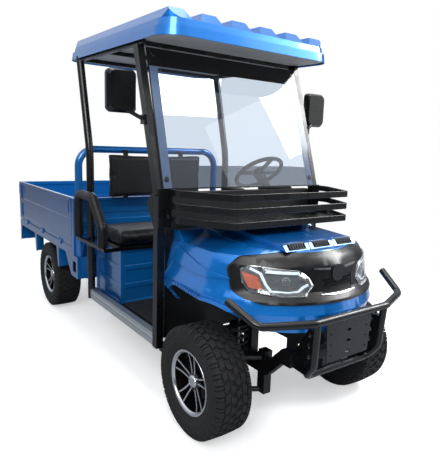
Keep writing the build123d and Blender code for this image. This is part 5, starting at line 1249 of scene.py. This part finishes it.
# Ground steel rod: grey and hazy, in marks of 17 mm.
damper_steel = polished("damper_steel_rod", metal("#8e9092"), 0.18, 0.4, 60.0)
springs = []
points = [vertex.co for vertex in NODES["front_springs"].data.vertices]
for side in (-1, 1):
    own = sorted([p for p in points if p.x * side > 0], key=lambda p: p.z)
    few = max(6, len(own) // 60)
    foot = sum(own[:few], Vector()) / few
    head = sum(own[-few:], Vector()) / few
    run = head - foot
    way = run.normalized()
    one = Vector((0, 1, 0))
    two = way.cross(one)
    wide = max((p - foot - way * (p - foot).dot(way)).length for p in own) - WIRE_R
    coil = []
    for number in range(COIL_STEPS + 1):
        share = number / COIL_STEPS
        angle = 2 * math.pi * COIL_TURNS * share
        middle = foot + run * (COIL_FROM + COIL_RUN * share)
        coil.append(middle + (one * math.cos(angle) + two * math.sin(angle)) * wide)
    springs.append(tube("coil", coil, WIRE_R, spring_black))
    springs.append(tube("damper", [foot, foot + run * 0.55], DAMPER_R, frame_coat, sides=24))
    springs.append(tube("rod", [foot + run * 0.5, head], ROD_R, damper_steel, sides=16))
    for share in SEATS:
        seat = [foot + run * share, foot + run * (share + SEAT_THICK)]
        springs.append(tube("seat", seat, wide + WIRE_R * 0.9, frame_coat, sides=32))
springs = joined("front_coil_springs", springs)
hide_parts("front_springs")
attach(springs, "chassis")

# Knuckles and rear axle: sand-cast iron with a pressed steel tube, painted once and run on the road.
# The eye sees a dull dark grey, rough by 3 mm, with brown-grey dust in patches of 55 mm.
cast_dark, tree = blank("cast_iron_dusty")
place = add(tree, "ShaderNodeTexCoord").outputs["Object"]
grit = add(tree, "ShaderNodeTexNoise", {"Scale": 320.0, "Detail": 5.0}, {"Vector": place})
dust = add(tree, "ShaderNodeTexNoise", {"Scale": 18.0, "Detail": 6.0}, {"Vector": place})
tone = add(tree, "ShaderNodeMix", {6: linear("#1a1a1b"), 7: linear("#3b3a38")}, {0: dust},
           data_type="RGBA")
dull = add(tree, "ShaderNodeMapRange", {3: 0.5, 4: 0.8}, {0: dust})
bump = add(tree, "ShaderNodeBump", {"Strength": 0.5, "Distance": 0.0008}, {"Height": grit})
iron = add(tree, "ShaderNodeBsdfPrincipled", {"IOR": 1.5, "Metallic": 0.3},
           {"Base Color": tone.outputs[2], "Roughness": dull, "Normal": bump})
add(tree, "ShaderNodeOutputMaterial", feeds={"Surface": iron})
for node in ("knuckle_right", "knuckle_left", "rear_axle"):
    rounded(node, node + "_cast", [cast_dark], 0.002)

# Screws: flanged hexagon screws, painted black on the pillars and zinc-plated under the bed, and
# round black caps over those of the windshield. Each is turned square to the face that it is in.
SCREW_R = 0.0075
SCREW_H = 0.006
COLLAR = 1.35
# Zinc plate: a dull pale grey, spangled every 7 mm.
zinc = polished("zinc_plated_steel", metal("#9a9c9e"), 0.28, 0.5, 150.0)


def screw_tree():
    """A screw on every point, turned to that point's way. Inputs: the points, its sizes and its material."""
    tree, given = opened("screws_on_points", Points="Geometry", Radius="Float", Height="Float", Sides="Int",
                         Coat="Material")
    wide = add(tree, "ShaderNodeMath", {1: COLLAR}, {0: given["Radius"]}, operation="MULTIPLY")
    flat = add(tree, "ShaderNodeMath", {1: 0.5}, {0: given["Height"]}, operation="MULTIPLY")
    head = add(tree, "GeometryNodeMeshCone", {"Fill Segments": 1}, {
        "Vertices": given["Sides"], "Radius Top": given["Radius"], "Radius Bottom": given["Radius"],
        "Depth": given["Height"],
    })
    collar = add(tree, "GeometryNodeMeshCone", {"Vertices": 20}, {
        "Radius Top": given["Radius"], "Radius Bottom": wide, "Depth": flat,
    })
    both = add(tree, "GeometryNodeJoinGeometry")
    for part in (head, collar):
        tree.links.new(part.outputs["Mesh"], both.inputs[0])
    way = add(tree, "GeometryNodeInputNamedAttribute", {"Name": "way"}, data_type="FLOAT_VECTOR")
    turn = add(tree, "FunctionNodeAlignRotationToVector", feeds={"Vector": way.outputs["Attribute"]})
    return repeated(tree, given, given["Points"], both, Rotation=turn)


SCREWS = screw_tree()


def screwed(name, spots, coat, radius=SCREW_R, height=SCREW_H, sides=6):
    """Screws at given (place, way) pairs."""
    mesh = bpy.data.meshes.new(name)
    mesh.from_pydata([spot for spot, way in spots], [], [])
    ways = mesh.attributes.new("way", "FLOAT_VECTOR", "POINT")
    for number, (spot, way) in enumerate(spots):
        ways.data[number].vector = way
    piece = grown(shown(name, mesh), SCREWS, Radius=radius, Height=height, Sides=sides, Coat=coat)
    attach(piece, "chassis")
    return piece


def side_met(skin, y, z, side):
    """The outer face of a skin at (y, z), met from one side."""
    return met(skin, (side * 3, y, z), (-side, 0, 0))


PILLAR_SCREWS = ((-1.064, 1.217), (-1.100, 1.096), (-1.121, 0.673), (-1.121, 0.42))
WINDSHIELD_CAPS = ((0.53, 1.995), (0.555, 1.30))
skin = outside_of("front_pillars", "front_basket")
found = [side_met(skin, y, z, side) for side in (-1, 1) for y, z in PILLAR_SCREWS]
screwed("pillar_screws", [hit for hit in found if hit[0] is not None], gloss_switch, 0.010, 0.008)
skin = outside_of("windshield")
found = [met(skin, (side * x, -3, z), REARWARD) for side in (-1, 1) for x, z in WINDSHIELD_CAPS]
screwed("windshield_caps", found, gloss_switch, 0.012, 0.007, 24)

# Gate latches: a bent steel rod in two staples at the front and rear top corner of each side
# gate, painted with the gate. It rides the gate, since it drops with it.
LATCH_R = 0.0045
LATCH_TOP = 1.052
LATCH_LOW = 0.945
LATCH_IN = 0.028
STAPLES = (0.969, 1.025)
for node, side in (("gate_right", -1), ("gate_left", 1)):
    low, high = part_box(node)
    face_x = side * (max(abs(low.x), abs(high.x)) - 0.0045)
    pieces = []
    for y in (low.y + LATCH_IN, high.y - LATCH_IN):
        inward = 0.03 if y < 0.5 else -0.03
        rod = [
            Vector((face_x, y + inward, LATCH_TOP - 0.012)), Vector((face_x, y + 0.3 * inward, LATCH_TOP)),
            Vector((face_x, y, LATCH_TOP - 0.012)), Vector((face_x, y, LATCH_LOW)),
        ]
        pieces.append(tube("latch_rod", rod, LATCH_R, blue_paint))
        staples = [boxed((face_x, y, z), (0.0035, 0.009, 0.007)) for z in STAPLES]
        pieces.append(bricks("latch_staple", staples, blue_paint, 0.001))
    latch = joined(node + "_latches", pieces)
    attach(latch, BODY_OF[node])

# Bed screws: a row of zinc-plated screws along each skirt rail, which hold it to the bed's sheet.
# They are set out evenly between the rail's ends.
RAIL_SCREWS = 6
RAIL_IN = 0.09
low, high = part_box("bed_skirts")
skin = outside_of("bed_skirts", "bed_floor")
step = (high.y - low.y - 2 * RAIL_IN) / (RAIL_SCREWS - 1)
found = [side_met(skin, low.y + RAIL_IN + number * step, high.z - 0.02, side)
         for side in (-1, 1) for number in range(RAIL_SCREWS)]
screwed("bed_screws", [hit for hit in found if hit[0] is not None], zinc, 0.006, 0.005)

# Hanger flanges: each hanger under the bed rail is bent in at its front edge, and the tail
# plates at their rear edge, from the same pressed sheet and in the same paint.
FLANGE_T = 0.0025
FLANGE_TOP = 0.6115
# Each flange as its place along the cart, its width and the height of its foot.
HANGERS = [(0.6175, 0.082, 0.446), (1.3175, 0.066, 0.446), (1.9425, 0.180, 0.452)]
low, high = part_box("bed_skirts")
flanges = []
for side in (-1, 1):
    edge_x = side * (high.x - 0.001)
    for y, width, foot in HANGERS:
        inner_x = edge_x - side * width
        flanges.append(((min(edge_x, inner_x), y, foot), (max(edge_x, inner_x), y + FLANGE_T, FLANGE_TOP)))
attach(bricks("hanger_flanges", flanges, blue_paint, 0.0008), "chassis")
